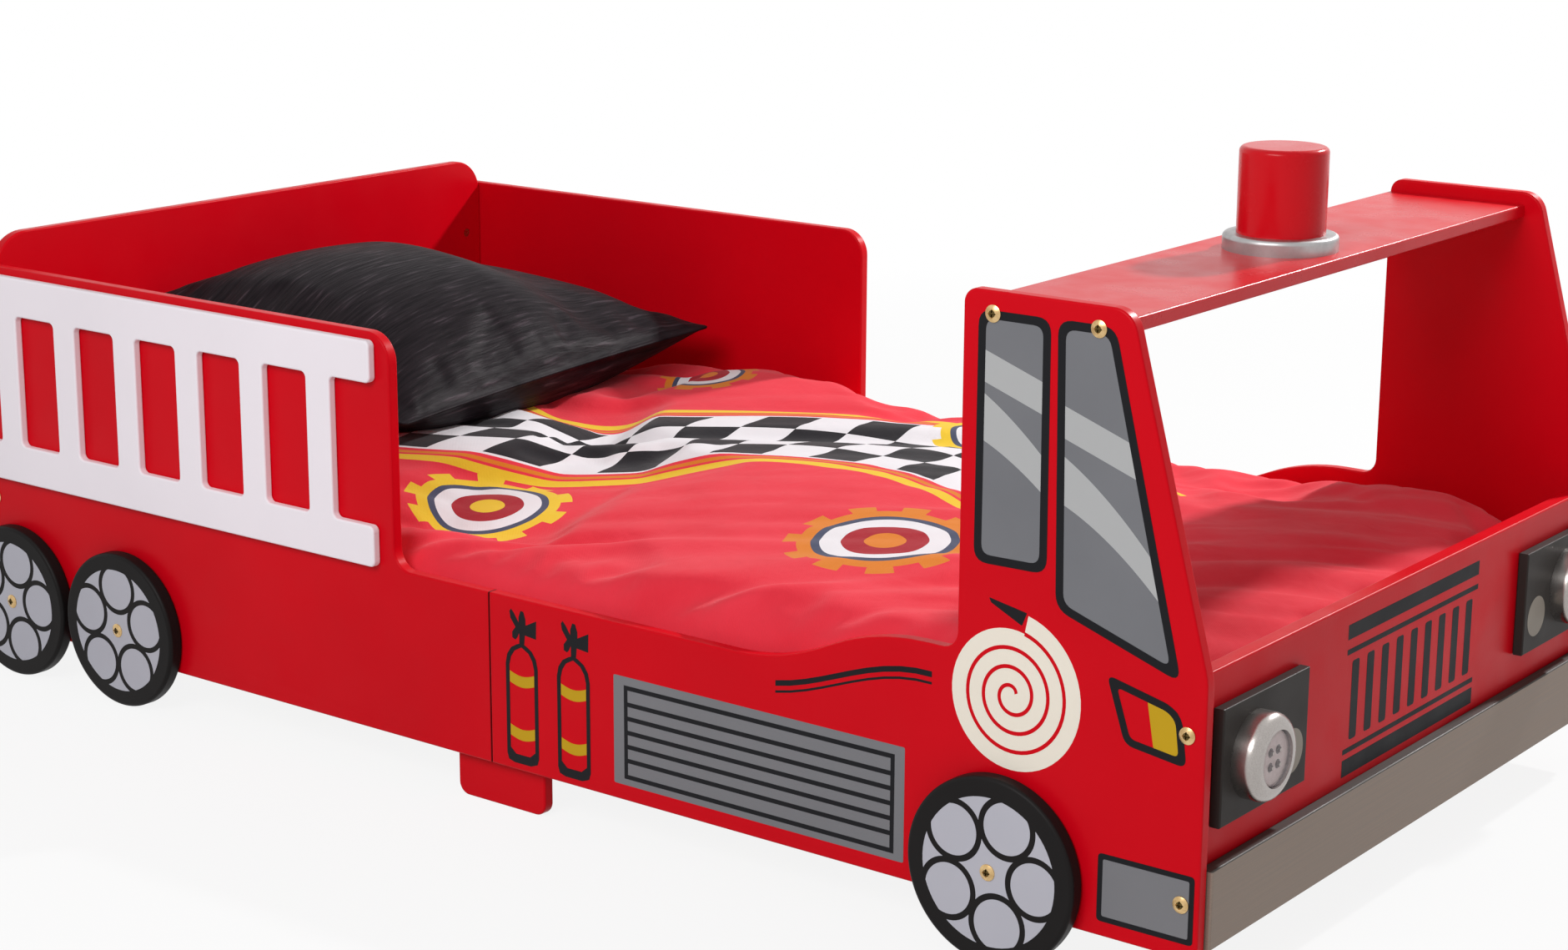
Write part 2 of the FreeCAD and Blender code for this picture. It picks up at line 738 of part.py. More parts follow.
def housing_profile():
    """Thin shell: side wall, round shoulder and a front lip around the lens hole."""
    wall_top = light_depth - shoulder
    inner = light_radius - light_wall
    inner_turn = shoulder - light_wall
    rim = light_radius - shoulder
    outline = [shoulder_arc(light_radius, wall_top, shoulder), shoulder_arc(inner, wall_top, inner_turn)]
    corners = [(rim, light_depth), (hole_radius, light_depth), (hole_radius, lip), (rim, lip)]
    feet = [(inner, wall_top), (inner, 0), (light_radius, 0), (light_radius, wall_top)]
    for run in (corners, feet):
        for first, last in zip(run, run[1:]):
            outline.append(Part.LineSegment(Vector(*first, 0), Vector(*last, 0)))
    return outline


lens_profile = turned_line([
    (0, lens_front - size("lens_face")),
    (lens_inner, lens_front - size("lens_face")),
    (lens_inner, flange_low),
    (flange_radius, flange_low),
    (flange_radius, flange_top),
    (size("lens_radius"), flange_top),
    (size("lens_radius"), lens_front),
    (0, lens_front),
])
led_bend = size("led_height") - size("led_radius")
led_profile = [
    Part.LineSegment(Vector(0, size("led_height"), 0), Vector(0, 0, 0)),
    Part.LineSegment(Vector(0, 0, 0), Vector(size("led_radius"), 0, 0)),
    Part.LineSegment(Vector(size("led_radius"), 0, 0), Vector(size("led_radius"), led_bend, 0)),
    shoulder_arc(size("led_radius"), led_bend, size("led_radius")),
]
led = turned("led", led_profile)

for hand, side in SIDE_SHARES.items():
    plate_outer = inner_half - size("plate_side_gap")
    plate_inner = plate_outer - size("plate_width")
    span = sorted((side * plate_outer, side * plate_inner))
    edges = rectangle(span[0], plate_low, span[1], plate_low + size("plate_height"))
    name = f"headlight_plate_{hand}"
    keep(cut_board(name, "YZ_Plane", edges, "plate_thick", Vector(front_face, 0, 0), "plate_edge"), name)

    light_y = side * (plate_outer - size("light_inset"))

    foot = on_light(light_y, 0)
    housing = turned(f"light_housing_{hand}", housing_profile())
    housing.Placement = FreeCAD.Placement(foot, FORWARD)
    keep(housing, f"light_housing_{hand}")
    base_radius = "light_radius - light_wall - base_clearance"
    keep(rod(f"light_base_{hand}", foot, FORWARD, base_radius, "base_thick"), f"light_base_{hand}")
    lens = turned(f"light_lens_{hand}", lens_profile)
    lens.Placement = FreeCAD.Placement(foot, FORWARD)
    keep(lens, f"light_lens_{hand}")
    name = f"light_board_{hand}"
    circuit_radius = "lens_radius - circuit_inset"
    keep(rod(name, on_light(light_y, circuit_low), FORWARD, circuit_radius, "circuit_thick"), name)
    offset = size("led_offset")
    corners = [(across, up) for across in (-offset, offset) for up in (-offset, offset)]
    led_places = [(on_light(light_y, flange_low, across, up), FORWARD) for across, up in corners]
    keep(copies(f"light_leds_{hand}", led, led_places), f"light_leds_{hand}")
    cells = []
    for up in (-size("cell_offset"), size("cell_offset")):
        start = on_light(light_y, size("base_thick") + size("cell_radius"), -size("cell_length") / 2, up)
        cells.append(rod(f"light_cell_{hand}", start, ACROSS[1], "cell_radius", "cell_length"))
    keep(gathered(f"light_batteries_{hand}", cells), f"light_batteries_{hand}")
    half_switch = size("switch_width") / 2
    case = doc.addObject("Part::Box", f"switch_case_{hand}")
    bind(case, Length="switch_width", Width="switch_width")
    case.Height = switch_top - size("plunger_height") - size("base_thick")
    case_corner = on_light(light_y, size("base_thick"), -half_switch, half_switch)
    case.Placement = FreeCAD.Placement(case_corner, FORWARD)
    plunger_low = on_light(light_y, switch_top - size("plunger_height"))
    plunger = rod(f"switch_plunger_{hand}", plunger_low, FORWARD, "plunger_radius", "plunger_height")
    switch = doc.addObject("Part::Fuse", f"light_switch_{hand}")
    switch.Base = case
    switch.Tool = plunger
    keep(switch, f"light_switch_{hand}")


# Beacon: a ring and a solid round lamp on the roof, held by one screw from below
def rounded_drum(name, radius, height, edge):
    """Half profile of a drum whose top edge is rounded."""
    profile = rounded([(0, 0, 0), (radius, 0, 0), (radius, height, edge), (0, height, 0)])
    return turned(name, profile)


ring = rounded_drum("beacon_ring_blank", size("ring_radius"), size("ring_height"), size("ring_round"))
ring.Placement.Base = Vector(beacon_x, 0, roof_top)
bored("beacon_ring", ring, [beacon_bore])
lamp = rounded_drum("beacon_lamp_blank", size("lamp_radius"), size("lamp_height"), size("lamp_round"))
lamp.Placement.Base = Vector(beacon_x, 0, roof_top + size("ring_height"))
bored("beacon_lamp", lamp, [beacon_bore])
beacon_screw_blank.Placement.Base = Vector(beacon_x, 0, roof_top - board)
keep(beacon_screw_blank, "beacon_screw")

# Bolts and barrel nuts of the three boards between the sides
bolt_places = []
nut_blanks = []
for side in SIDE_SHARES.values():
    nut_y = side * (inner_half - size("nut_depth"))
    half_nut = size("nut_length") / 2
    for x, z in headboard_bolts + front_bolts:
        nut_blanks.append(rod("nut", Vector(x - half_nut, nut_y, z), FORWARD, "nut_radius", "nut_length"))
    for x, z in roof_bolts:
        nut_blanks.append(rod("nut", Vector(x, nut_y, z - half_nut), UPWARD, "nut_radius", "nut_length"))
    for x, z in headboard_bolts + front_bolts + roof_bolts:
        bolt_places.append((Vector(x, side * half_width, z), ACROSS[-side]))
keep(copies("panel_bolts", panel_bolt, bolt_places), "panel_bolts")
nut_tools = []
for side in SIDE_SHARES.values():
    for x, z in headboard_bolts + front_bolts + roof_bolts:
        nut_tools.append(bolt_bore("nut_thread", x, side, z))
bored("barrel_nuts", gathered("nut_blanks", nut_blanks), nut_tools)

# Mattress on the slats
mattress_rear = headboard_face + size("mattress_end_gap")
mattress_front = front_back - size("mattress_end_gap")
mattress_half = leg_face - size("mattress_side_gap")
mattress_corner = size("mattress_corner")
edges = rectangle(mattress_rear, -mattress_half, mattress_front, mattress_half, mattress_corner)
mattress = cut_board("mattress", "XY_Plane", edges, "mattress_thick", Vector(0, 0, slat_top), "mattress_edge")
keep(mattress, "mattress")


def section(name, place, turn, edges):
    """A cross section standing at a place."""
    sketch = doc.addObject("Sketcher::SketchObject", name + "_section")
    sketch.addGeometry(edges, False)
    sketch.Placement = FreeCAD.Placement(place, turn)
    return sketch


def lofted(name, sections):
    """A closed solid drawn smoothly through its sections."""
    loft = doc.addObject("Part::Loft", name)
    loft.Sections = sections
    loft.Solid = True
    loft.Ruled = False
    return loft


# Duvet: flat below and arched above between rounded shoulders, fuller to the left, sinking towards both ends
duvet_half = inner_half - size("duvet_gap")
duvet_flat = duvet_half - size("duvet_roll")


def duvet_shoulder(side, hem, height):
    """A rounded shoulder from the top of a hem up to the arched top."""
    out = duvet_flat + DIAGONAL_SHARE * size("duvet_roll")
    up = hem + DIAGONAL_SHARE * (height - hem)
    start = Vector(side * duvet_half, hem, 0)
    return Part.Arc(start, Vector(side * out, up, 0), Vector(side * duvet_flat, height, 0))


def duvet_section(x, full):
    """Flat underside, short upright hems, rounded shoulders and one arc over the top."""
    hem = full * size("duvet_hem")
    left = full * size("duvet_left_shoulder")
    right = full * size("duvet_right_shoulder")
    crown = Vector(0, full * size("duvet_crown"), 0)
    edges = [
        Part.LineSegment(Vector(-duvet_half, 0, 0), Vector(duvet_half, 0, 0)),
        Part.LineSegment(Vector(duvet_half, 0, 0), Vector(duvet_half, hem, 0)),
        duvet_shoulder(1, hem, left),
        Part.Arc(Vector(duvet_flat, left, 0), crown, Vector(-duvet_flat, right, 0)),
        duvet_shoulder(-1, hem, right),
        Part.LineSegment(Vector(-duvet_half, hem, 0), Vector(-duvet_half, 0, 0)),
    ]
    return section("duvet", Vector(x, 0, mattress_top + size("duvet_lift")), UPRIGHT, edges)


duvet_rear = headboard_face + size("duvet_gap")
duvet_length = front_back - size("duvet_gap") - duvet_rear
duvet_sections = []
for station, full in zip(DUVET_STATION_SHARES, DUVET_FULL_SHARES):
    duvet_sections.append(duvet_section(duvet_rear + station * duvet_length, full))
duvet = keep(lofted("duvet", duvet_sections), "duvet")
duvet_top = mattress_top + size("duvet_lift") + size("duvet_crown")


# Pillow: crowned above and below a thin seam, with its right rear corner leaning high on the headboard
def pillow_section(station, upper, lower, draw):
    """Two arcs that meet in a thin seam at the front and at the rear, leaning less towards the left."""
    rear = draw * size("pillow_draw")
    front = size("pillow_length") - rear
    middle = (rear + front) / 2
    seam = size("pillow_seam") / 2
    top = seam + upper * size("pillow_upper")
    low = -seam - lower * size("pillow_lower")
    edges = [
        Part.Arc(Vector(rear, -seam, 0), Vector(middle, low, 0), Vector(front, -seam, 0)),
        Part.LineSegment(Vector(front, -seam, 0), Vector(front, seam, 0)),
        Part.Arc(Vector(front, seam, 0), Vector(middle, top, 0), Vector(rear, seam, 0)),
        Part.LineSegment(Vector(rear, seam, 0), Vector(rear, -seam, 0)),
    ]
    place = Vector(0, (station - 0.5) * size("pillow_width"), -station * size("pillow_left_drop"))
    right, left = size("pillow_right_tilt_degrees"), size("pillow_left_tilt_degrees")
    lean = FreeCAD.Rotation(Vector(0, 1, 0), right + station * (left - right))
    return section("pillow", place, lean * ACROSS[-1], edges)


pillow_sections = []
for shares in zip(PILLOW_STATION_SHARES, PILLOW_UPPER_SHARES, PILLOW_LOWER_SHARES, PILLOW_DRAW_SHARES):
    pillow_sections.append(pillow_section(*shares))
pillow = lofted("pillow", pillow_sections)
doc.recompute()
reach = pillow.Shape.BoundBox
pillow.Placement.Base = Vector(
    headboard_face + size("pillow_gap") - reach.XMin,
    size("pillow_aside"),
    duvet_top + size("pillow_lift") - reach.ZMin,
)
# The pillow is let down until it all but rests on the duvet.
doc.recompute()
spare = pillow.Shape.distToShape(duvet.Shape)[0]
pillow.Placement.Base.z -= spare - size("pillow_lift")
keep(pillow, "pillow")

doc.recompute()

for thing in doc.Objects:
    if "Invalid" in thing.State or "Error" in thing.State:
        raise RuntimeError(f"{thing.Label} failed: {thing.State}")
for piece in pieces:
    if piece.Shape.isNull() or not piece.Shape.isValid() or not piece.Shape.Solids:
        raise RuntimeError(f"{piece.Label} has no valid solid")

os.makedirs("parts", exist_ok=True)
for piece in pieces:
    piece.Shape.exportStep(f"parts/{piece.Label}.step")
    print(piece.Label, len(piece.Shape.Solids), round(piece.Shape.Volume))
print("pieces", len(pieces))
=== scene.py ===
import bpy
import json
import math
from mathutils import Matrix, Vector, noise


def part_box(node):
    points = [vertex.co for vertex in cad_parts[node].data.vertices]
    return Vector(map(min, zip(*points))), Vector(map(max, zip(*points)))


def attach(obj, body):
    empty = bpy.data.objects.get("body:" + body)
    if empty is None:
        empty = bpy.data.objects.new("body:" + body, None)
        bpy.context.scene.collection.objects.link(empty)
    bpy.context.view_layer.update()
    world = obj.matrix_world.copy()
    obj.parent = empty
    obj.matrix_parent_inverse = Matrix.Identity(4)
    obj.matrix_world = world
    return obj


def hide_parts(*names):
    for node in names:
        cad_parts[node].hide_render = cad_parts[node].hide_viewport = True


# Toddler bed shaped like a fire engine, dressed around its packed boards: finishes, painted figures,
# bedding and light. Lengths are metres in the bed's own frame, apart from figures drawn in millimetres.

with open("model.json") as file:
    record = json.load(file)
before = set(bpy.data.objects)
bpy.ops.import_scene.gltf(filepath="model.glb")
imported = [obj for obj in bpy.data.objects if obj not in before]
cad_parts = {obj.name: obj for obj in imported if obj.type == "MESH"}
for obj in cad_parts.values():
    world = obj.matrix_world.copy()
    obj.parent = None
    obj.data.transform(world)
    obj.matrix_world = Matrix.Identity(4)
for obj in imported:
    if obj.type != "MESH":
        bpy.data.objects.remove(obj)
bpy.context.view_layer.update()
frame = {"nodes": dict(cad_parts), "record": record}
nodes = frame["nodes"]
MM = 0.001
HANDS = {"right": -1, "left": 1}


def deselect():
    bpy.ops.object.select_all(action="DESELECT")


def pick(piece):
    """Make one piece the only one that operators act on."""
    deselect()
    piece.select_set(True)
    bpy.context.view_layer.objects.active = piece


def settle(piece):
    """Put a piece's place, turn and scale into its mesh."""
    pick(piece)
    bpy.ops.object.transform_apply(location=True, rotation=True, scale=True)
    return piece


def clean(piece, merge=1e-6):
    """Merge doubled points and turn all faces outwards."""
    pick(piece)
    bpy.ops.object.mode_set(mode="EDIT")
    bpy.ops.mesh.select_all(action="SELECT")
    bpy.ops.mesh.remove_doubles(threshold=merge)
    bpy.ops.mesh.normals_make_consistent(inside=False)
    bpy.ops.object.mode_set(mode="OBJECT")
    return piece


def dress(piece, material):
    """Give a piece its only material."""
    piece.data.materials.clear()
    piece.data.materials.append(material)


# Finishes
def screen(red, green, blue):
    """A colour as a screen shows it, from 0 to 255, turned into a shader's colour."""
    def channel(value):
        share = value / 255
        return share / 12.92 if share <= 0.04045 else ((share + 0.055) / 1.055) ** 2.4
    return (channel(red), channel(green), channel(blue), 1)


def shade(colour, factor):
    """A colour made darker or lighter."""
    return tuple(min(part * factor, 1) for part in colour[:3]) + (1,)


class Reading:
    """A number that varies over a surface, kept as a node's output so that sums can be written with it."""

    def __init__(self, tree, socket):
        self.tree = tree
        self.socket = socket

    def join(self, operation, *others):
        sum_node = self.tree.nodes.new("ShaderNodeMath")
        sum_node.operation = operation
        for slot, value in enumerate((self, *others)):
            if isinstance(value, Reading):
                self.tree.links.new(value.socket, sum_node.inputs[slot])
            else:
                sum_node.inputs[slot].default_value = value
        return Reading(self.tree, sum_node.outputs[0])

    def __add__(self, other):
        return self.join("ADD", other)

    def __sub__(self, other):
        return self.join("SUBTRACT", other)

    def __mul__(self, other):
        return self.join("MULTIPLY", other)

    both = __mul__

    def size(self):
        return self.join("ABSOLUTE")

    def wave(self):
        return self.join("SINE")

    def below(self, limit):
        return self.join("LESS_THAN", limit)

    def above(self, limit):
        return self.join("GREATER_THAN", limit)

    def within(self, low, high):
        return self.above(low).both(self.below(high))

    def step(self):
        return self.join("FLOOR")

    def wrap(self, length):
        return self.join("FLOORED_MODULO", length)

    def either(self, other):
        return self.join("MAXIMUM", other)

    def reach(self, other):
        """Distance from the point where this number and the other are both zero."""
        return (self * self + other * other).join("SQRT")


class Finish:
    """A material built from nodes, with calls for the recipes that the finishes share."""

    def __init__(self, name, **sockets):
        self.material = bpy.data.materials.new(name)
        self.material.use_nodes = True
        self.tree = self.material.node_tree
        self.shader = self.tree.nodes["Principled BSDF"]
        self.place = self.tree.nodes.new("ShaderNodeTexCoord").outputs["Object"]
        for socket, value in sockets.items():
            self.shader.inputs[socket.replace("_", " ")].default_value = value

    def axes(self):
        """The place on the piece as its x, y and z."""
        parts = self.tree.nodes.new("ShaderNodeSeparateXYZ")
        self.tree.links.new(self.place, parts.inputs[0])
        return [Reading(self.tree, part) for part in parts.outputs]

    def chart(self):
        """The place on the flat cut of the piece's cover, from 0 to 1 each way."""
        return self.tree.nodes.new("ShaderNodeTexCoord").outputs["UV"]

    def stretched(self, scale, place=None):
        """The place on the piece or its cut, scaled along each axis."""
        mapping = self.tree.nodes.new("ShaderNodeMapping")
        mapping.inputs["Scale"].default_value = scale
        self.tree.links.new(place or self.place, mapping.inputs["Vector"])
        return mapping.outputs["Vector"]

    def noise(self, scale, detail=3, rough=0.5, where=None, twist=0):
        cloud = self.tree.nodes.new("ShaderNodeTexNoise")
        cloud.inputs["Scale"].default_value = scale
        cloud.inputs["Detail"].default_value = detail
        cloud.inputs["Roughness"].default_value = rough
        cloud.inputs["Distortion"].default_value = twist
        self.tree.links.new(where or self.place, cloud.inputs["Vector"])
        return Reading(self.tree, cloud.outputs["Fac"])

    def spread(self, reading, low, high, start=0.3, end=0.7):
        """A reading moved into another range."""
        ranged = self.tree.nodes.new("ShaderNodeMapRange")
        for socket, value in zip(("From Min", "From Max", "To Min", "To Max"), (start, end, low, high)):
            ranged.inputs[socket].default_value = value
        self.tree.links.new(reading.socket, ranged.inputs["Value"])
        return Reading(self.tree, ranged.outputs["Result"])

    def ramp(self, reading, stops):
        """A colour chosen along a reading."""
        ramp = self.tree.nodes.new("ShaderNodeValToRGB")
        points = ramp.color_ramp.elements
        while len(points) < len(stops):
            points.new(1)
        for point, (place, colour) in zip(points, stops):
            point.position = place
            point.color = colour
        self.tree.links.new(reading.socket, ramp.inputs[0])
        return ramp.outputs[0]

    def over(self, base, mask, top):
        """One colour laid over another where a mask is 1."""
        mix = self.tree.nodes.new("ShaderNodeMix")
        mix.data_type = "RGBA"
        self.tree.links.new(mask.socket, mix.inputs[0])
        for slot, colour in ((6, base), (7, top)):
            if isinstance(colour, tuple):
                mix.inputs[slot].default_value = colour
            else:
                self.tree.links.new(colour, mix.inputs[slot])
        return mix.outputs[2]

    def colour(self, socket):
        self.tree.links.new(socket, self.shader.inputs["Base Color"])

    def rough(self, reading):
        self.tree.links.new(reading.socket, self.shader.inputs["Roughness"])

    def bump(self, *layers):
        """Fine relief from (reading, height in metres) layers."""
        normal = None
        for reading, height in layers:
            relief = self.tree.nodes.new("ShaderNodeBump")
            relief.inputs["Strength"].default_value = 1
            relief.inputs["Distance"].default_value = height
            self.tree.links.new(reading.socket, relief.inputs["Height"])
            if normal:
                self.tree.links.new(normal, relief.inputs["Normal"])
            normal = relief.outputs["Normal"]
        self.tree.links.new(normal, self.shader.inputs["Normal"])


def paint(name, colour, rough=0.34, mottle=0.05, peel=0.00004, shine=0.09, joint=None, **sockets):
    """Sprayed satin paint: faint clouds in the colour, a fine lacquer ripple, and a painted shade line along
    a joint between boards.
    """
    finish = Finish(name, Specular_IOR_Level=shine, **sockets)
    clouds = finish.noise(5, 4)
    coat = finish.ramp(clouds, [(0.3, shade(colour, 1 - mottle)), (0.7, shade(colour, 1 + mottle))])
    if joint is not None:
        x, y, z = finish.axes()
        # Painted shade: a thin dark line along the joint where two boards meet.
        coat = finish.over(coat, (x - joint).size().below(JOINT_SHADE_HALF_WIDTH), shade(colour, 0.2))
    finish.colour(coat)
    finish.rough(finish.spread(finish.noise(23, 5), rough - 0.05, rough + 0.07))
    finish.bump((finish.noise(420, 2), peel), (finish.noise(60, 2), peel * 2))
    return finish.material


def drawn_out(across, lengthwise, along):
    """Scales of a grain: fine across one axis, long along it."""
    return [lengthwise if axis == along else across for axis in range(3)]


def brushed(name, colour, along, rough, metal, rim):
    """Metal-look paint with fine strokes along one axis, over a board whose top face is painted dark as
    shade.
    """
    finish = Finish(name, Metallic=metal)
    strokes = finish.noise(1, 5, where=finish.stretched(drawn_out(900, 6, along)))
    x, y, z = finish.axes()
    face = finish.ramp(strokes, [(0.25, shade(colour, 0.85)), (0.75, shade(colour, 1.15))])
    # Painted shade: the board's top face above the rim height is coloured near black.
    finish.colour(finish.over(face, z.above(rim), shade(colour, 0.12)))
    finish.rough(finish.spread(strokes, rough - 0.08, rough + 0.1))
    finish.bump((strokes, 0.00003))
    return finish.material


def metal(name, colour, rough, grain=160):
    """Plated or lacquered metal with small tarnish and handling marks."""
    finish = Finish(name, Metallic=1)
    marks = finish.noise(grain, 6, 0.6)
    finish.colour(finish.ramp(marks, [(0.3, shade(colour, 0.8)), (0.65, colour)]))
    finish.rough(finish.spread(marks, rough + 0.1, rough - 0.04))
    finish.bump((finish.noise(grain * 5, 2), 0.00002))
    return finish.material


def satin_silver():
    """Silver lacquer over moulded plastic: even, with a fine metallic flake."""
    finish = Finish("silver_lacquer", Metallic=1)
    flake = finish.noise(900, 2)
    finish.colour(finish.ramp(flake, [(0.3, screen(164, 158, 154)), (0.7, screen(176, 170, 166))]))
    finish.rough(finish.spread(finish.noise(25, 3), 0.24, 0.3))
    finish.bump((finish.noise(300, 2), 0.000006))
    return finish.material


def planed_pine(name, along):
    """Unpainted softwood: growth rings drawn out along the timber, and fine pores."""
    finish = Finish(name)
    rings = finish.noise(2.2, 6, 0.6, finish.stretched(drawn_out(26, 1.4, along)), 0.8)
    pores = finish.noise(1, 3, where=finish.stretched(drawn_out(700, 18, along)))
    early, late = screen(214, 178, 128), screen(200, 156, 102)
    pale, dark = screen(222, 188, 138), screen(186, 140, 88)
    finish.colour(finish.ramp(rings, [(0.3, early), (0.48, late), (0.55, pale), (0.7, dark)]))
    finish.rough(finish.spread(pores, 0.5, 0.68))
    finish.bump((rings, 0.00012), (pores, 0.00008))
    return finish.material


RED = screen(208, 2, 22)
# Half width of the painted shade line along the side boards' joint.
JOINT_SHADE_HALF_WIDTH = 0.0011
INK_PEEL = 0.00002
SIDE_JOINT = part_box("side_panel_rear_right")[1].x
# Height above which the bumper board's top face is painted dark as shade.
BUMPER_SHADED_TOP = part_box("bumper_board")[1].z - 0.0012
red_paint = paint("red_paint", RED)
# The side boards get a painted shade line where their two halves meet.
side_paint = paint("red_side_paint", RED, joint=SIDE_JOINT)
roof_paint = paint("red_gloss_paint", RED, 0.3, shine=0.22)
lamp_paint = paint("beacon_red_lacquer", screen(206, 4, 22), 0.24, 0.04, shine=0.16, Coat_Weight=0.05)
print_black = paint("black_print", screen(28, 28, 31), 0.46, 0.12, INK_PEEL)
print_grey = paint("grey_print", screen(124, 124, 128), 0.45, 0.05, INK_PEEL)
print_cream = paint("cream_print", screen(240, 232, 218), 0.45, 0.02, INK_PEEL)
print_yellow = paint("yellow_print", screen(196, 158, 32), 0.45, 0.06, INK_PEEL)
hub_grey = paint("hub_grey_print", screen(186, 186, 196), 0.4, 0.05, INK_PEEL)
disc_grey = paint("lamp_disc_print", screen(150, 142, 132), 0.42, 0.05, INK_PEEL)
pine_along = planed_pine("planed_pine_along", 0)


def clear_plastic():
    """Clear moulded lens with faint flow marks."""
    finish = Finish("clear_lens_plastic", Alpha=0.12, IOR=1.46)
    flow = finish.noise(70, 3)
    finish.colour(finish.ramp(flow, [(0.3, screen(226, 210, 212)), (0.7, screen(236, 226, 228))]))
    finish.rough(finish.spread(flow, 0.06, 0.14))
    return finish.material


DIODE_OFFSET = 0.006
DIODE_TIP = 0.0015
DIODE_RING = 0.0039
# Radius of the painted shade inside each bolt head's cross recess.
RECESS_SHADE_RADIUS = 0.0030
BOLT_PLACES = (
    (-0.7135, 0.1845),
    (-0.7135, 0.373),
    (0.717, 0.090),
    (0.717, 0.228),
    (0.5315, 0.533),
    (0.6275, 0.533),
)


def diode_reach(finish, hand):
    """Distance from the nearest of a light's four diodes, across the light."""
    low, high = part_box(f"light_leds_{hand}")
    middle = (low + high) / 2
    x, y, z = finish.axes()
    return ((y - middle.y).size() - DIODE_OFFSET).reach((z - middle.z).size() - DIODE_OFFSET)


def diode_resin(hand):
    """Diode bulbs: a pale tip inside a dark collar."""
    finish = Finish(f"diode_resin_{hand}")
    tip = diode_reach(finish, hand).below(DIODE_TIP)
    resin = finish.ramp(finish.noise(400, 2), [(0.3, screen(42, 36, 36)), (0.7, screen(56, 48, 48))])
    finish.colour(finish.over(resin, tip, screen(206, 198, 190)))
    finish.rough(finish.spread(finish.noise(300), 0.12, 0.25))
    return finish.material


def reflector_board(hand):
    """Pale light board with a soft metallic sheen and a dark ring around each diode."""
    finish = Finish(f"pale_light_board_{hand}", Metallic=0.2)
    ring = diode_reach(finish, hand).below(DIODE_RING)
    board = finish.ramp(finish.noise(300, 3), [(0.3, screen(196, 178, 176)), (0.7, screen(210, 194, 192))])
    finish.colour(finish.over(board, ring, screen(58, 50, 50)))
    finish.rough(finish.spread(finish.noise(200), 0.3, 0.45))
    finish.bump((finish.noise(700, 2), 0.00005))
    return finish.material


def plated_heads():
    """Yellow-plated bolt heads, with painted shade inside the cross recess."""
    finish = Finish("yellow_plated_heads", Metallic=1)
    x, y, z = finish.axes()
    hubs = [sum(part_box(f"wheel_{name}_right"), Vector()) / 2 for name in ("rear", "second", "front")]
    places = [*BOLT_PLACES, *((hub.x, hub.z) for hub in hubs)]
    reaches = [(x - across).reach(z - up) for across, up in places]
    middle = reaches[0]
    for reach in reaches[1:]:
        middle = middle.join("MINIMUM", reach)
    marks = finish.noise(160, 6, 0.6)
    plating = finish.ramp(marks, [(0.3, screen(182, 148, 98)), (0.65, screen(222, 190, 138))])
    # Painted shade: a dark disc at each head's middle, where the cross recess lies.
    finish.colour(finish.over(plating, middle.below(RECESS_SHADE_RADIUS), screen(96, 80, 46)))
    finish.rough(finish.spread(marks, 0.32, 0.2))
    finish.bump((finish.noise(800, 2), 0.00002))
    return finish.material


NODE_FINISHES = {
    "white_paint": paint("white_paint", screen(246, 239, 246), 0.4, 0.02),
    "black_paint": paint("tyre_black_paint", screen(27, 25, 25), 0.42, 0.15),
    "charcoal_paint": paint("charcoal_paint", screen(52, 48, 46), 0.44, 0.1),
    "taupe_paint": brushed("taupe_metallic_paint", screen(137, 121, 109), 1, 0.54, 0.2, BUMPER_SHADED_TOP),
    "silver_paint": metal("silver_leaf_paint", screen(176, 174, 174), 0.36, 60),
    "silver_plastic": satin_silver(),
    "clear_plastic": clear_plastic(),
    "dark_plastic": paint("dark_moulded_plastic", screen(44, 44, 46), 0.5, 0.1, 0.0001),
    "battery_can": paint("battery_sleeve", screen(60, 66, 84), 0.3, 0.1),
    "brass": metal("yellow_plated_brass", screen(170, 152, 112), 0.28),
    "steel": metal("zinc_plated_steel", screen(190, 192, 196), 0.3),
    "red_paint": red_paint,
    "pine": planed_pine("planed_pine_across", 1),
}
SLOTS = {row["node"]: row["material_slot"] for row in frame["record"]["subparts"]}
for name, node in nodes.items():
    if SLOTS[name] in NODE_FINISHES:
        dress(node, NODE_FINISHES[SLOTS[name]])
for hand in HANDS:
    dress(nodes[f"light_leds_{hand}"], diode_resin(hand))
    dress(nodes[f"light_board_{hand}"], reflector_board(hand))
    for half in ("rear", "front"):
        dress(nodes[f"slat_rail_{half}_{hand}"], pine_along)
        dress(nodes[f"side_panel_{half}_{hand}"], side_paint)
dress(nodes["beacon_lamp"], lamp_paint)
dress(nodes["cab_roof"], roof_paint)
heads = plated_heads()
for bolts in ("panel_bolts", "wheel_bolts"):
    dress(nodes[bolts], heads)


# Painted figures: closed loops drawn flat, given a film's thickness and laid on a board
FILM, SUNK = 0.00015, 0.00004
CORNER_STEPS = 5


def circle(centre, radius, count):
    """Points around a circle."""
    turns = [2 * math.pi * k / count for k in range(count)]
    return [(centre[0] + radius * math.cos(t), centre[1] + radius * math.sin(t)) for t in turns]


def softened(corners, radius):
    """A closed loop through corners, each rounded by a curve that starts a radius away from it."""
    loop = []
    for place, here in enumerate(corners):
        here = Vector(here)
        before = (Vector(corners[place - 1]) - here).normalized() * radius
        after = (Vector(corners[(place + 1) % len(corners)]) - here).normalized() * radius
        for k in range(CORNER_STEPS + 1):
            share = k / CORNER_STEPS
            loop.append(tuple(here + before * (1 - share) ** 2 + after * share ** 2))
    return loop


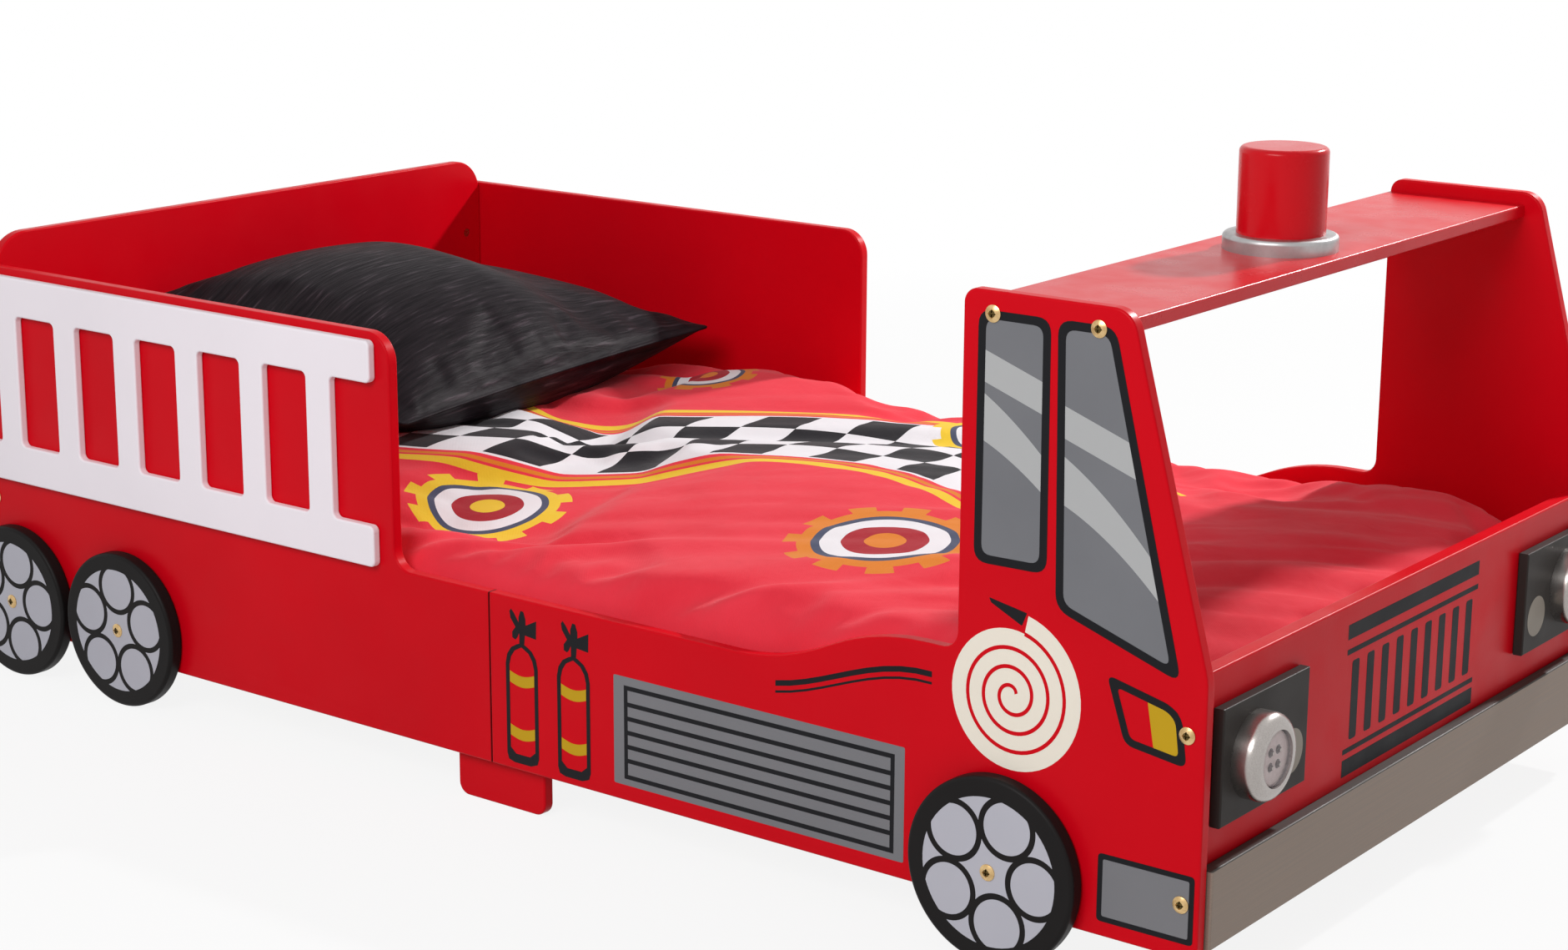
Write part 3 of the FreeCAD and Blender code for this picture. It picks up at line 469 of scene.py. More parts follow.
def inset(corners, depth):
    """A convex loop of corners drawn in by a depth; the corners run clockwise or the other way."""
    count = len(corners)
    area = sum(corners[k - 1][0] * corners[k][1] - corners[k][0] * corners[k - 1][1] for k in range(count))
    hand = 1 if area > 0 else -1
    lines = []
    for k in range(count):
        first = Vector(corners[k])
        run = (Vector(corners[(k + 1) % count]) - first).normalized()
        inward = Vector((-run.y, run.x)) * hand
        lines.append((first + inward * depth, run))
    loop = []
    for k in range(count):
        (one, run), (two, other) = lines[k - 1], lines[k]
        gap = two - one
        along = (gap.x * other.y - gap.y * other.x) / (run.x * other.y - run.y * other.x)
        loop.append(tuple(one + run * along))
    return loop


def figure(name, loops, material, layer, side=None, front=None):
    """A painted figure of closed loops in millimetres, on a side board or facing forward at a given x."""
    curve = bpy.data.curves.new(name, "CURVE")
    curve.dimensions = "2D"
    curve.fill_mode = "BOTH"
    curve.extrude = FILM * layer / 2
    for loop in loops:
        line = curve.splines.new("POLY")
        line.points.add(len(loop) - 1)
        for point, (across, up) in zip(line.points, loop):
            point.co = (across * MM, up * MM, 0, 1)
        line.use_cyclic_u = True
    piece = bpy.data.objects.new(name, curve)
    bpy.context.scene.collection.objects.link(piece)
    pick(piece)
    bpy.ops.object.convert(target="MESH")
    piece = bpy.context.object
    proud = FILM * layer / 2 - SUNK
    if side:
        piece.rotation_euler = (math.pi / 2, 0, 0)
        piece.location.y = side * (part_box("side_panel_front_left")[1].y + proud)
    else:
        piece.rotation_euler = (math.pi / 2, 0, math.pi / 2)
        piece.location.x = front + proud
    settle(piece)
    clean(piece)
    dress(piece, material)
    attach(piece, "bed")


# Where the two panes part, and each pane's left edge with the heights there of its straight and bowed bands
PANE_SPLIT = 0.59
PANE_BANDS = ((0.524, 0.4785, 0.4315), (0.601, 0.4430, 0.3905))
STRAIGHT_WIDTH, STRAIGHT_FALL = 0.0255, 0.35
BOWED_WIDTH, BOWED_TAPER, BOWED_FALL, BOWED_BEND = 0.038, -0.16, 0.44, 3.2


def window_glass():
    """Painted window glass: flat grey, with a straight and a bowed paler band across each pane."""
    finish = Finish("grey_glass_print")
    x, y, z = finish.axes()
    colour = finish.ramp(finish.noise(8, 4), [(0.3, screen(105, 106, 111)), (0.7, screen(113, 114, 119))])
    for pane, (left, straight, bowed) in zip((x.below(PANE_SPLIT), x.above(PANE_SPLIT)), PANE_BANDS):
        across = x - left
        band = (z + across * STRAIGHT_FALL).within(straight, straight + STRAIGHT_WIDTH)
        height = z + across * BOWED_FALL + across * across * BOWED_BEND
        sweep = height.within(bowed, across * BOWED_TAPER + (bowed + BOWED_WIDTH))
        colour = finish.over(colour, pane.both(band.either(sweep)), screen(174, 175, 176))
    finish.colour(colour)
    finish.rough(finish.spread(finish.noise(30, 4), 0.4, 0.52))
    finish.bump((finish.noise(420, 2), 0.00002))
    return finish.material


# Figures on the side boards, in millimetres along the bed and up
WINDOWS = (
    [(518, 331.5), (586.5, 332.5), (584.5, 535.5), (518, 535.5)],
    [(595.5, 306.5), (709.7, 268.5), (642, 536), (590.7, 536)],
)
WINDOW_BAR, WINDOW_ROUND, PANE_ROUND = 7, 13, 9
INDICATOR = [(644, 262.5), (662, 209), (717, 201.5), (712, 240), (702, 249)]
INDICATOR_SPLIT = [(681, 248), (687.5, 211.5)]
INDICATOR_BAR, INDICATOR_ROUND, LENS_ROUND, AMBER_ROUND = 6.2, 8, 5, 1.5
FENDER_PLATE = (641.5, 58, 728.5, 115)
FENDER_BAR, FENDER_ROUND, PRINT_ROUND = 4.5, 4, 2
GRILLE = (139.5, 60, 454.5, 161)
GRILLE_SLOT = (151.5, 66, 444.5, 153)
GRILLE_SLOTS = 6
GRILLE_LINE, LINE_GAP = 4.1, 0.05
HOSE_CENTRE = (556.8, 227.4)
HOSE_START, HOSE_TURNS, HOSE_STEPS = 78, 4.15, 56
HOSE_REACH, HOSE_HEIGHT = 67.8, 1.03
HOSE_PITCH, HOSE_GROOVE = 15.2, 3.2
NOZZLE = [(533.5, 304.5), (535.5, 300.5), (565, 286.5), (569.5, 297.8)]
NOZZLE_ROUND = 1.2
BOTTLE_LEFTS = {"a": 10.4, "b": 72.6}
BAND_LOWS, BAND_HEIGHT, BAND_SAG = (78, 129), 10.5, 3.4
STRIPE_DROPS = ((0, 5), (9, 2.2))


def square(left, low, right, high):
    return [(left, low), (right, low), (right, high), (left, high)]


def hose_line(turns_from, turns_to, widen):
    """Points along the coiled hose's edge, counted in turns from its free end."""
    count = int((turns_to - turns_from) * HOSE_STEPS)
    points = []
    for k in range(count + 1):
        turn = turns_from + (turns_to - turns_from) * k / count
        angle = math.radians(HOSE_START) - turn * 2 * math.pi
        radius = HOSE_REACH - HOSE_PITCH * turn + widen
        rise = radius * math.sin(angle) * HOSE_HEIGHT
        points.append((HOSE_CENTRE[0] + radius * math.cos(angle), HOSE_CENTRE[1] + rise))
    return points


def bottle(shift):
    """Outline, inside, bands and valve of one painted extinguisher, its left edge at the shift."""
    def moved(*points):
        return [(x + shift, z) for x, z in points]

    body = moved((0, 60), (2, 54), (9, 52), (29, 52), (37, 55), (39, 61), (39, 146), (37, 155))
    body += moved((32, 162), (25, 166), (19.5, 168), (14, 166), (7, 162), (2, 155), (0, 146))
    room = moved((4.4, 66), (11, 60.5), (28, 60.5), (34.6, 66), (34.6, 145), (32.5, 153))
    room += moved((28, 159.5), (19.5, 164), (11, 159.5), (6.5, 153), (4.4, 145))
    bands = []
    for low in BAND_LOWS:
        lower = [(4.6 + 3.72 * k, low - BAND_SAG * math.sin(math.pi * k / 8)) for k in range(9)]
        upper = [(x, z + BAND_HEIGHT) for x, z in reversed(lower)]
        bands.append(moved(*lower, *upper))
    valve = moved((17, 166), (23, 166), (24, 176), (37.5, 174.6), (38, 192), (25, 185.5), (25, 191))
    valve += moved((22.5, 198), (19, 198.4), (16.5, 192), (16.5, 187), (11, 195), (7.5, 198.5))
    valve += moved((5.5, 196), (6.5, 190), (12.5, 182), (8.5, 177), (8.5, 171.5), (12.5, 170))
    valve += moved((15, 173), (17, 177))
    return body, room, bands, valve


def paint_cab(hand, side):
    """Windows, direction indicator and fender plate of one side."""
    frames = [softened(corners, WINDOW_ROUND) for corners in WINDOWS]
    openings = [softened(inset(corners, WINDOW_BAR), PANE_ROUND) for corners in WINDOWS]
    figure(f"window_frames_{hand}", frames + openings, print_black, 2, side)
    figure(f"window_glass_{hand}", openings, glass_paint, 1, side)
    lens = inset(INDICATOR, INDICATOR_BAR)
    rim = [softened(INDICATOR, INDICATOR_ROUND), softened(lens, LENS_ROUND)]
    figure(f"indicator_frame_{hand}", rim, print_black, 2, side)
    amber = softened(INDICATOR_SPLIT + lens[2:], AMBER_ROUND)
    figure(f"indicator_amber_{hand}", [amber], print_yellow, 1, side)
    plate = square(*FENDER_PLATE)
    panel = softened(inset(plate, FENDER_BAR), PRINT_ROUND)
    figure(f"fender_plate_frame_{hand}", [softened(plate, FENDER_ROUND), panel], print_black, 2, side)
    figure(f"fender_plate_panel_{hand}", [panel], print_grey, 1, side)


def paint_grille(hand, side):
    """Grey grille panel with a framed row of slots on one side."""
    figure(f"grille_panel_{hand}", [softened(square(*GRILLE), PRINT_ROUND)], print_grey, 1, side)
    slot = square(*GRILLE_SLOT)
    slot_inside = inset(slot, GRILLE_LINE)
    left, low = slot_inside[0]
    right, high = slot_inside[2]
    lines = [slot, slot_inside]
    for k in range(1, GRILLE_SLOTS):
        foot = low + (high - low) * k / GRILLE_SLOTS - GRILLE_LINE / 2
        lines.append(square(left + LINE_GAP, foot, right - LINE_GAP, foot + GRILLE_LINE))
    figure(f"grille_lines_{hand}", lines, print_black, 2, side)


def paint_hose(hand, side):
    """Coiled hose with its nozzle on one side: a pale disc parted by a red spiral."""
    figure(f"hose_coil_{hand}", [hose_line(0, 1, 0)], print_cream, 1, side)
    outer, inner = (hose_line(1, HOSE_TURNS, widen) for widen in (HOSE_GROOVE / 2, -HOSE_GROOVE / 2))
    figure(f"hose_groove_{hand}", [outer + inner[::-1]], red_paint, 2, side)
    figure(f"hose_nozzle_{hand}", [softened(NOZZLE, NOZZLE_ROUND)], print_black, 1, side)


def paint_extinguishers(hand, side):
    """Two extinguishers of one side."""
    outlines = []
    bands = []
    for letter, left in BOTTLE_LEFTS.items():
        body, room, rings, valve = bottle(left)
        outlines += [body, room]
        bands += rings
        figure(f"extinguisher_valve_{letter}_{hand}", [valve], print_black, 1, side)
    figure(f"extinguisher_outlines_{hand}", outlines, print_black, 2, side)
    figure(f"extinguisher_bands_{hand}", bands, print_yellow, 1, side)


def paint_rail_stripes(hand, side):
    """Two stripes that sweep up to the cab under the rail of one side."""
    sweep = [(320 + 16 * k, 190 + 42 * math.sin(math.pi * (k + 1.5) / 22) ** 2) for k in range(11)]
    stripes = []
    for drop, width in STRIPE_DROPS:
        upper = [(x, z - drop) for x, z in sweep]
        lower = [(x, z - drop - width) for x, z in reversed(sweep)]
        stripes.append(upper + lower)
    figure(f"rail_stripes_{hand}", stripes, print_black, 1, side)


glass_paint = window_glass()
for hand, side in HANDS.items():
    for paint_part in (paint_cab, paint_grille, paint_hose, paint_extinguishers, paint_rail_stripes):
        paint_part(hand, side)

# Radiator figure on the front panel, and a painted disc beside each head light
RADIATOR_HALF = 126
RULE_HEIGHTS = ((124, 139), (144, 148.6), (231.2, 236), (244.5, 257.5))
BAR_COUNT, BAR_MARGIN = 9, 10
BAR_WIDTH, BAR_LOW, BAR_HIGH, BAR_ROUND = 13, 155, 224.5, 3
PLATE_DISC_RADIUS, PLATE_DISC_INSET, PLATE_DISC_HEIGHT, DISC_CORNERS = 19, 26, 181, 48
bars = [square(-RADIATOR_HALF, low, RADIATOR_HALF, high) for low, high in RULE_HEIGHTS]
for k in range(BAR_COUNT):
    spread = 2 * (RADIATOR_HALF - BAR_MARGIN) - BAR_WIDTH
    left = BAR_MARGIN - RADIATOR_HALF + spread * k / (BAR_COUNT - 1)
    bars.append(softened(square(left, BAR_LOW, left + BAR_WIDTH, BAR_HIGH), BAR_ROUND))
figure("radiator_figure", bars, print_black, 1, front=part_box("front_panel")[1].x)
for hand, side in HANDS.items():
    low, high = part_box(f"headlight_plate_{hand}")
    inner = high.y if side < 0 else low.y
    centre = (inner / MM + side * PLATE_DISC_INSET, PLATE_DISC_HEIGHT)
    spot = circle(centre, PLATE_DISC_RADIUS, DISC_CORNERS)
    figure(f"plate_disc_{hand}", [spot], disc_grey, 1, front=high.x)


# Wheel hubs: a grey disc cut by round spokes, the same pattern turned differently on each wheel
def disc(radius, place, depth):
    bpy.ops.mesh.primitive_cylinder_add(vertices=72, radius=radius, depth=depth, location=place)
    return bpy.context.object


def cut_with(piece, tool, operation):
    """Cut a piece with another one, which is then removed."""
    pick(piece)
    change = piece.modifiers.new("cut", "BOOLEAN")
    change.operation = operation
    change.solver = "EXACT"
    change.object = tool
    bpy.ops.object.modifier_apply(modifier=change.name)
    bpy.data.objects.remove(tool)


HUB_RADIUS = 0.0635
PETAL_RADIUS = 0.022
SPOKE_RADIUS = 0.0274
PETAL_REACH = 0.0445
HUB_FILM = 0.0004
PETALS = 5


def hub_pattern():
    """Star, rim corners and round petals, lying flat about the axle."""
    deselect()
    hub = disc(HUB_RADIUS, (0, 0, 0), HUB_FILM)
    petals = []
    for k in range(PETALS):
        turn = 2 * math.pi * k / PETALS
        place = (PETAL_REACH * math.cos(turn), PETAL_REACH * math.sin(turn), 0)
        cut_with(hub, disc(SPOKE_RADIUS, place, HUB_FILM * 4), "DIFFERENCE")
        petal = disc(PETAL_RADIUS, place, HUB_FILM)
        cut_with(petal, disc(HUB_RADIUS, (0, 0, 0), HUB_FILM * 4), "INTERSECT")
        petals.append(petal)
    pick(hub)
    for petal in petals:
        petal.select_set(True)
    bpy.ops.object.join()
    return settle(hub)


STAR_TURNS = {"wheel_front": 103, "wheel_second": 52, "wheel_rear": 40}
pattern = hub_pattern()
for hand, side in HANDS.items():
    for wheel, turn in STAR_TURNS.items():
        hub = pattern.copy()
        hub.data = pattern.data.copy()
        hub.name = f"{wheel.replace('wheel', 'hub')}_{hand}"
        bpy.context.scene.collection.objects.link(hub)
        low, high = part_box(f"{wheel}_{hand}")
        face = low.y if side < 0 else high.y
        middle = (low + high) / 2
        spin = Matrix.Rotation(math.radians(turn) + math.pi / PETALS, 4, "Z")
        lean = Matrix.Rotation(math.pi / 2, 4, "X")
        middle.y = face + side * (HUB_FILM / 2 - SUNK)
        hub.matrix_world = Matrix.Translation(middle) @ lean @ spin
        settle(hub)
        clean(hub)
        dress(hub, hub_grey)
        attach(hub, "bed")
bpy.data.objects.remove(pattern)


# Bedding
def edit(piece, mode="VERT"):
    """Open one piece in edit mode with everything selected."""
    pick(piece)
    bpy.ops.object.mode_set(mode="EDIT")
    bpy.ops.mesh.select_mode(type=mode)
    bpy.ops.mesh.select_all(action="SELECT")


def choose(piece, kind, test):
    """Select only the points, edges or faces that pass a test; the piece is left in object mode."""
    bpy.ops.mesh.select_all(action="DESELECT")
    bpy.ops.object.mode_set(mode="OBJECT")
    for part in getattr(piece.data, kind):
        part.select = test(part)


def sewn_case(name, length, width, gap, cells):
    """A flat cover of two sheets joined around their edge, lying about the origin."""
    deselect()
    along, across = cells
    bpy.ops.mesh.primitive_grid_add(
        x_subdivisions=along, y_subdivisions=across, size=1, location=(0, 0, gap / 2)
    )
    case = bpy.context.object
    case.name = name
    case.scale = (length, width, 1)
    settle(case)
    edit(case)
    bpy.ops.mesh.duplicate()
    bpy.ops.transform.translate(value=(0, 0, -gap))
    bpy.ops.mesh.flip_normals()
    bpy.ops.mesh.select_all(action="DESELECT")
    bpy.ops.mesh.select_non_manifold()
    bpy.ops.mesh.bridge_edge_loops()
    bpy.ops.object.mode_set(mode="OBJECT")
    return clean(case, 1e-5)


def run_cloth(piece, frames, pins, **settings):
    """Let the cover settle under its filling, then keep the settled shape."""
    pick(piece)
    cloth = piece.modifiers.new("filling", "CLOTH")
    cloth.settings.effector_weights.gravity = 0
    cloth.settings.use_pressure = True
    cloth.settings.quality = 6
    for name, value in settings.items():
        setattr(cloth.settings, name, value)
    cloth.settings.vertex_group_mass = pins.name
    cloth.collision_settings.use_collision = False
    cloth.point_cache.frame_start = 1
    cloth.point_cache.frame_end = frames
    for step in range(1, frames + 1):
        bpy.context.scene.frame_set(step)
    bpy.ops.object.modifier_apply(modifier=cloth.name)
    bpy.context.scene.frame_set(1)


def smoothed(piece):
    """One finer subdivision and smooth shading."""
    pick(piece)
    finer = piece.modifiers.new("finer", "SUBSURF")
    finer.levels = finer.render_levels = 1
    bpy.ops.object.modifier_apply(modifier=finer.name)
    bpy.ops.object.shade_smooth()


def ease(share):
    """A slope from 0 to 1 that starts and ends level."""
    share = min(max(share, 0), 1)
    return share * share * (3 - 2 * share)


def bulge(share):
    """A quarter round from 0 to 1."""
    share = min(max(share, 0), 1)
    return math.sqrt(1 - (1 - share) ** 2)


def hill(x, y, centre, reach):
    """A round rise of 1 at its centre."""
    return math.exp(-((x - centre[0]) / reach[0]) ** 2 - ((y - centre[1]) / reach[1]) ** 2)


# Fabrics
def cloth_place(finish, size):
    """Place on a cover's flat cut, in metres from its middle."""
    parts = finish.tree.nodes.new("ShaderNodeSeparateXYZ")
    finish.tree.links.new(finish.chart(), parts.inputs[0])
    along, across = (Reading(finish.tree, part) for part in parts.outputs[:2])
    return (along - 0.5) * size[0], (across - 0.5) * size[1]


def weave(along, across, pitch):
    """Threads crossing at a pitch, as a height."""
    return (along * (2 * math.pi / pitch)).wave() * (across * (2 * math.pi / pitch)).wave()


# The print's ribbon and lines, as distances from the ribbon's swaying middle line
RIBBON_HALF, RIBBON_END, CHECK_HALF, CHECK_CELL = 0.102, 0.403, 0.098, 0.05
YELLOW_LINE, ORANGE_LINE, LINE_END = (0.118, 0.131), (0.108, 0.114), 0.4
TOOTH_SHARE = 0.16


def cog(along, across, centre, radius, teeth):
    """A toothed ring: the distance from its centre, and a mask of all within its teeth."""
    x = along - centre[0]
    y = across - centre[1]
    reach = x.reach(y)
    angle = y.join("ARCTAN2", x)
    tooth = (angle * teeth).wave().above(0) * (radius * TOOTH_SHARE)
    return reach, reach.below(tooth + radius)


def printed_cotton(size):
    """Coral cotton with a printed chequered ribbon, stripes and toothed rings."""
    finish = Finish("printed_coral_cotton", Sheen_Weight=0.12, Sheen_Roughness=0.5, Specular_IOR_Level=0.08)
    along, across = cloth_place(finish, size)
    cotton = finish.ramp(finish.noise(9, 5), [(0.3, screen(226, 46, 62)), (0.7, screen(236, 58, 74))])
    white, black = screen(236, 232, 236), screen(34, 32, 36)
    yellow, orange, slate = screen(238, 198, 48), screen(222, 128, 36), screen(70, 76, 100)

    sway = across - (along * 5.2 + 0.9).wave() * 0.12 - 0.015
    apart = sway.size()
    lined = along.below(LINE_END)
    colour = finish.over(cotton, apart.within(*YELLOW_LINE).both(lined), yellow)
    colour = finish.over(colour, apart.within(*ORANGE_LINE).both(lined), orange)
    squares = ((along * (1 / CHECK_CELL)).step() + (sway * (1 / CHECK_CELL)).step()).wrap(2)
    colour = finish.over(colour, apart.below(RIBBON_HALF).both(along.below(RIBBON_END)), white)
    colour = finish.over(colour, apart.below(CHECK_HALF).both(lined).both(squares.above(0.5)), black)
    for centre, radius, teeth, rim in (
        ((-0.17, -0.205), 0.07, 9, yellow),
        ((0.13, 0.25), 0.062, 8, yellow),
        ((0.27, -0.15), 0.08, 11, orange),
        ((-0.26, 0.25), 0.05, 8, orange),
    ):
        reach, toothed = cog(along, across, centre, radius, teeth)
        colour = finish.over(colour, toothed, rim)
        for share, ink in ((0.84, slate), (0.74, white), (0.5, screen(168, 24, 40)), (0.24, rim)):
            colour = finish.over(colour, reach.below(radius * share), ink)
    finish.colour(colour)
    finish.rough(finish.spread(finish.noise(60, 4), 0.72, 0.86))
    finish.bump((finish.noise(34, 4, twist=0.6), 0.0011), (weave(along, across, 0.0016), 0.00006))
    return finish.material


RIBS_PER_METRE, CRINKLES_PER_METRE = 230, 19


def ribbed_satin(size):
    """Charcoal satin with fine crinkled ribs across the cover; the raised streaks of the ribs are coloured
    paler as painted sheen.
    """
    finish = Finish("charcoal_ribbed_satin", Sheen_Weight=0.01, Sheen_Roughness=0.35, Specular_IOR_Level=0.06)
    cut = finish.stretched((size[0] * RIBS_PER_METRE, size[1] * CRINKLES_PER_METRE, 1), finish.chart())
    ribs = finish.noise(1, 3, 0.55, cut, 0.25)
    # Dark to mid tones of the ribbed cloth; the palest tone on the rib crests is painted sheen.
    rib_tones_and_sheen = [(0.34, screen(16, 11, 15)), (0.60, screen(33, 27, 31)), (0.72, screen(66, 57, 63))]
    finish.colour(finish.ramp(ribs, rib_tones_and_sheen))
    finish.rough(finish.spread(ribs, 0.56, 0.46))
    finish.bump((ribs, 0.0011))
    return finish.material


QUILT_PITCH = 0.09


def quilted_cotton():
    """White ticking sewn in diamonds."""
    finish = Finish("white_quilted_cotton", Sheen_Weight=0.15)
    x, y, z = finish.axes()
    slant, other = ((line * (math.pi / QUILT_PITCH)).wave().size() for line in (x + y, x - y))
    tufts = slant.join("MINIMUM", other).join("POWER", 0.5)
    ticking = [(0.3, screen(226, 224, 220)), (0.7, screen(238, 237, 234))]
    finish.colour(finish.ramp(finish.noise(30, 5), ticking))
    finish.rough(finish.spread(finish.noise(120, 3), 0.78, 0.9))
    finish.bump((tufts, 0.004), (weave(x, y, 0.0016), 0.00008))
    return finish.material


# Mattress: rounded block with a raised piping near its upper and lower rims
mattress_low, mattress_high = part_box("mattress")
PIPING, PIPING_HALF, PIPING_INSET = 0.0022, 0.003, 0.017
MATTRESS_CORNER, MATTRESS_EDGE = 0.035, 0.014


def round_edges(block, test, radius, segments):
    """Round the edges of a block whose rise from end to end passes a test."""
    points = block.data.vertices
    edit(block, "EDGE")
    choose(block, "edges", lambda e: test(abs(points[e.vertices[0]].co.z - points[e.vertices[1]].co.z)))
    bpy.ops.object.mode_set(mode="EDIT")
    bpy.ops.mesh.bevel(offset=radius, segments=segments)
    bpy.ops.object.mode_set(mode="OBJECT")


def make_mattress():
    deselect()
    size = mattress_high - mattress_low
    middle = (mattress_low + mattress_high) / 2
    bpy.ops.mesh.primitive_cube_add(size=1, location=middle)
    block = bpy.context.object
    block.name = "mattress_cover"
    block.scale = (size.x - 2 * PIPING, size.y - 2 * PIPING, size.z)
    settle(block)
    round_edges(block, lambda rise: rise > size.z / 2, MATTRESS_CORNER, 6)
    round_edges(block, lambda rise: rise < 0.001, MATTRESS_EDGE, 4)
    seams = (mattress_low.z + PIPING_INSET, mattress_high.z - PIPING_INSET)
    edit(block)
    for seam in seams:
        for rise in (-PIPING_HALF, 0, PIPING_HALF):
            bpy.ops.mesh.select_all(action="SELECT")
            bpy.ops.mesh.bisect(plane_co=(0, 0, seam + rise), plane_no=(0, 0, 1))
    bpy.ops.object.mode_set(mode="OBJECT")
    for point in block.data.vertices:
        if min(abs(point.co.z - seam) for seam in seams) < PIPING_HALF / 6:
            point.co.x += math.copysign(PIPING, point.co.x - middle.x)
            point.co.y += math.copysign(PIPING, point.co.y - middle.y)
    return clean(block)


mattress = make_mattress()
pick(mattress)
bpy.ops.object.shade_smooth_by_angle(angle=math.radians(35))
dress(mattress, quilted_cotton())
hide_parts("mattress")
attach(mattress, "bed")

# Duvet: a filled cover tucked between the rails, fuller along its far side, wrinkled by its spare cloth
duvet_low, duvet_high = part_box("duvet")
PILLOW_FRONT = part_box("pillow")[1].x
DUVET_CELLS = (148, 76)
DUVET_EDGE, DUVET_ROLL, DUVET_TUCK = 0.008, 0.055, 0.03
DUVET_FRAMES, DUVET_CAP = 26, 0.012
CREASE_RUN = Vector((0.84, 0.54))
FOLD_FROM, FOLD_TO = Vector((0.235, -0.350)), Vector((0.410, -0.150))
FOLD_RISE, FOLD_REACH, FOLD_DROP = 0.010, 0.055, 0.013
# Rises and hollows of the filling: height, middle and reach each way
DUVET_HILLS = (
    (0.018, (-0.220, 0.300), (0.15, 0.12)),
    (0.001, (0.560, 0.290), (0.06, 0.10)),
    (-0.016, (0.70, -0.30), (0.13, 0.16)),
)


def crease(x, y, spacing):
    """Soft ridges that run slantwise over the duvet at about a spacing, each some way long."""
    run = (x * CREASE_RUN.x + y * CREASE_RUN.y) / spacing
    side = (y * CREASE_RUN.x - x * CREASE_RUN.y) / spacing
    fold = noise.noise((run / 7, side + 0.6 * noise.noise((run / 9, side / 5, 4)), 0))
    return 0.7 - 3.5 * fold * fold - 0.5 * fold


def lapped_fold(x, y):
    """Rise of the one long fold that runs in from the right rail: easy behind its edge, steep before it."""
    run = FOLD_TO - FOLD_FROM
    place = Vector((x, y)) - FOLD_FROM
    along = place.dot(run) / run.length_squared
    behind = run.cross(place) / run.length
    ends = ease((along + 0.3) / 0.4) * ease((1.25 - along) / 0.5)
    reach = FOLD_REACH if behind > 0 else FOLD_DROP
    return FOLD_RISE * ends * math.exp(-(behind / reach) ** 2)


def duvet_border(x, y):
    """Distance from the duvet's nearest edge."""
    return min(x - duvet_low.x, duvet_high.x - x, y - duvet_low.y, duvet_high.y - y)


def duvet_height(x, y):
    """Height of the duvet's upper cloth above its lower one, before it wrinkles."""
    across = y / duvet_high.y
    full = 0.053 - 0.017 * ease(-across) - 0.003 * ease(across) - 0.012 * ease((x - 0.57) / 0.12)
    full -= 0.014 * ease((PILLOW_FRONT - 0.05 - x) / 0.16)
    full += sum(height * hill(x, y, centre, reach) for height, centre, reach in DUVET_HILLS)
    full += 0.003 * math.sin(9 * x + 4 * y) + 0.002 * math.sin(5 * x - 11 * y + 1.3)
    full += 0.0060 * crease(x, y, 0.085) + 0.0025 * crease(x + 3, y, 0.046) + lapped_fold(x, y)
    return DUVET_EDGE + full * bulge(duvet_border(x, y) / DUVET_ROLL)


def fine_wrinkles(x, y):
    """Small wrinkles of the cloth itself, fuller towards the foot."""
    foot = 0.35 + 0.65 * ease((x - 0.15) / 0.3)
    return foot * (0.0014 * crease(x + 7, y, 0.034) + 0.0006 * crease(x + 5, y, 0.017))


def capped(points, start, cap):
    """Bring back points that have moved further than a cap."""
    for point, before in zip(points, start):
        move = point.co - before
        if move.length > cap:
            point.co = before + move * (cap / move.length)


def make_duvet():
    size = duvet_high - duvet_low
    middle = (duvet_low + duvet_high) / 2
    cover = sewn_case("duvet_cover", size.x, size.y, 0.01, DUVET_CELLS)
    pins = cover.vertex_groups.new(name="tucked")
    for point in cover.data.vertices:
        place = point.co
        upper = place.z > 0
        place.x += middle.x
        place.y += middle.y
        place.z = duvet_low.z + (duvet_height(place.x, place.y) if upper else 0)
        still = ease((PILLOW_FRONT - 0.06 - place.x) / 0.1)
        hold = max(ease(1 - duvet_border(place.x, place.y) / DUVET_TUCK), still) if upper else 1
        if hold > 0:
            pins.add([point.index], hold, "REPLACE")
    start = [point.co.copy() for point in cover.data.vertices]
    run_cloth(
        cover,
        DUVET_FRAMES,
        pins,
        uniform_pressure_force=0.25,
        shrink_min=-0.045,
        bending_stiffness=0.9,
        tension_stiffness=12,
        compression_stiffness=12,
        pin_stiffness=1.0,
    )
    capped(cover.data.vertices, start, DUVET_CAP)
    smoothed(cover)
    for point in cover.data.vertices:
        place = point.co
        share = ease((place.z - duvet_low.z - 0.02) / 0.01) * ease(duvet_border(place.x, place.y) / 0.05)
        place.z += share * fine_wrinkles(place.x, place.y)
    return cover


duvet = make_duvet()
dress(duvet, printed_cotton(duvet_high - duvet_low))
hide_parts("duvet")
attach(duvet, "bed")

# Pillow: a plump cover with a sewn edge, leaning against the headboard and resting on the duvet
PILLOW_CUT = (0.396, 0.488)
PILLOW_CELLS = (62, 72)
PILLOW_MIDDLE = (-0.501, 0.060)
# Heights of the seam's right and left corners, at the head and at the front
PILLOW_SEAM = ((0.367, 0.325), (0.287, 0.312))
PILLOW_UPPER, PILLOW_FAR_UPPER, PILLOW_LOWER = 0.081, 0.053, 0.085
PILLOW_STEP_AT, PILLOW_STEP_RUN = 0.18, 0.12
PILLOW_DRAW = 0.05
PILLOW_SEAM_HALF, PILLOW_CLEARANCE = 0.0015, 0.001
PILLOW_WELT = 0.003
PILLOW_FRAMES, PILLOW_CAP = 24, 0.0035
PILLOW_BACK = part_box("headboard")[1].x + 0.004


def swell(along, across):
    """Share of a pillow's fullness at a place counted from -1 to 1 each way."""
    return ((1 - abs(along) ** 2.4) * (1 - abs(across) ** 2.4)) ** 0.62


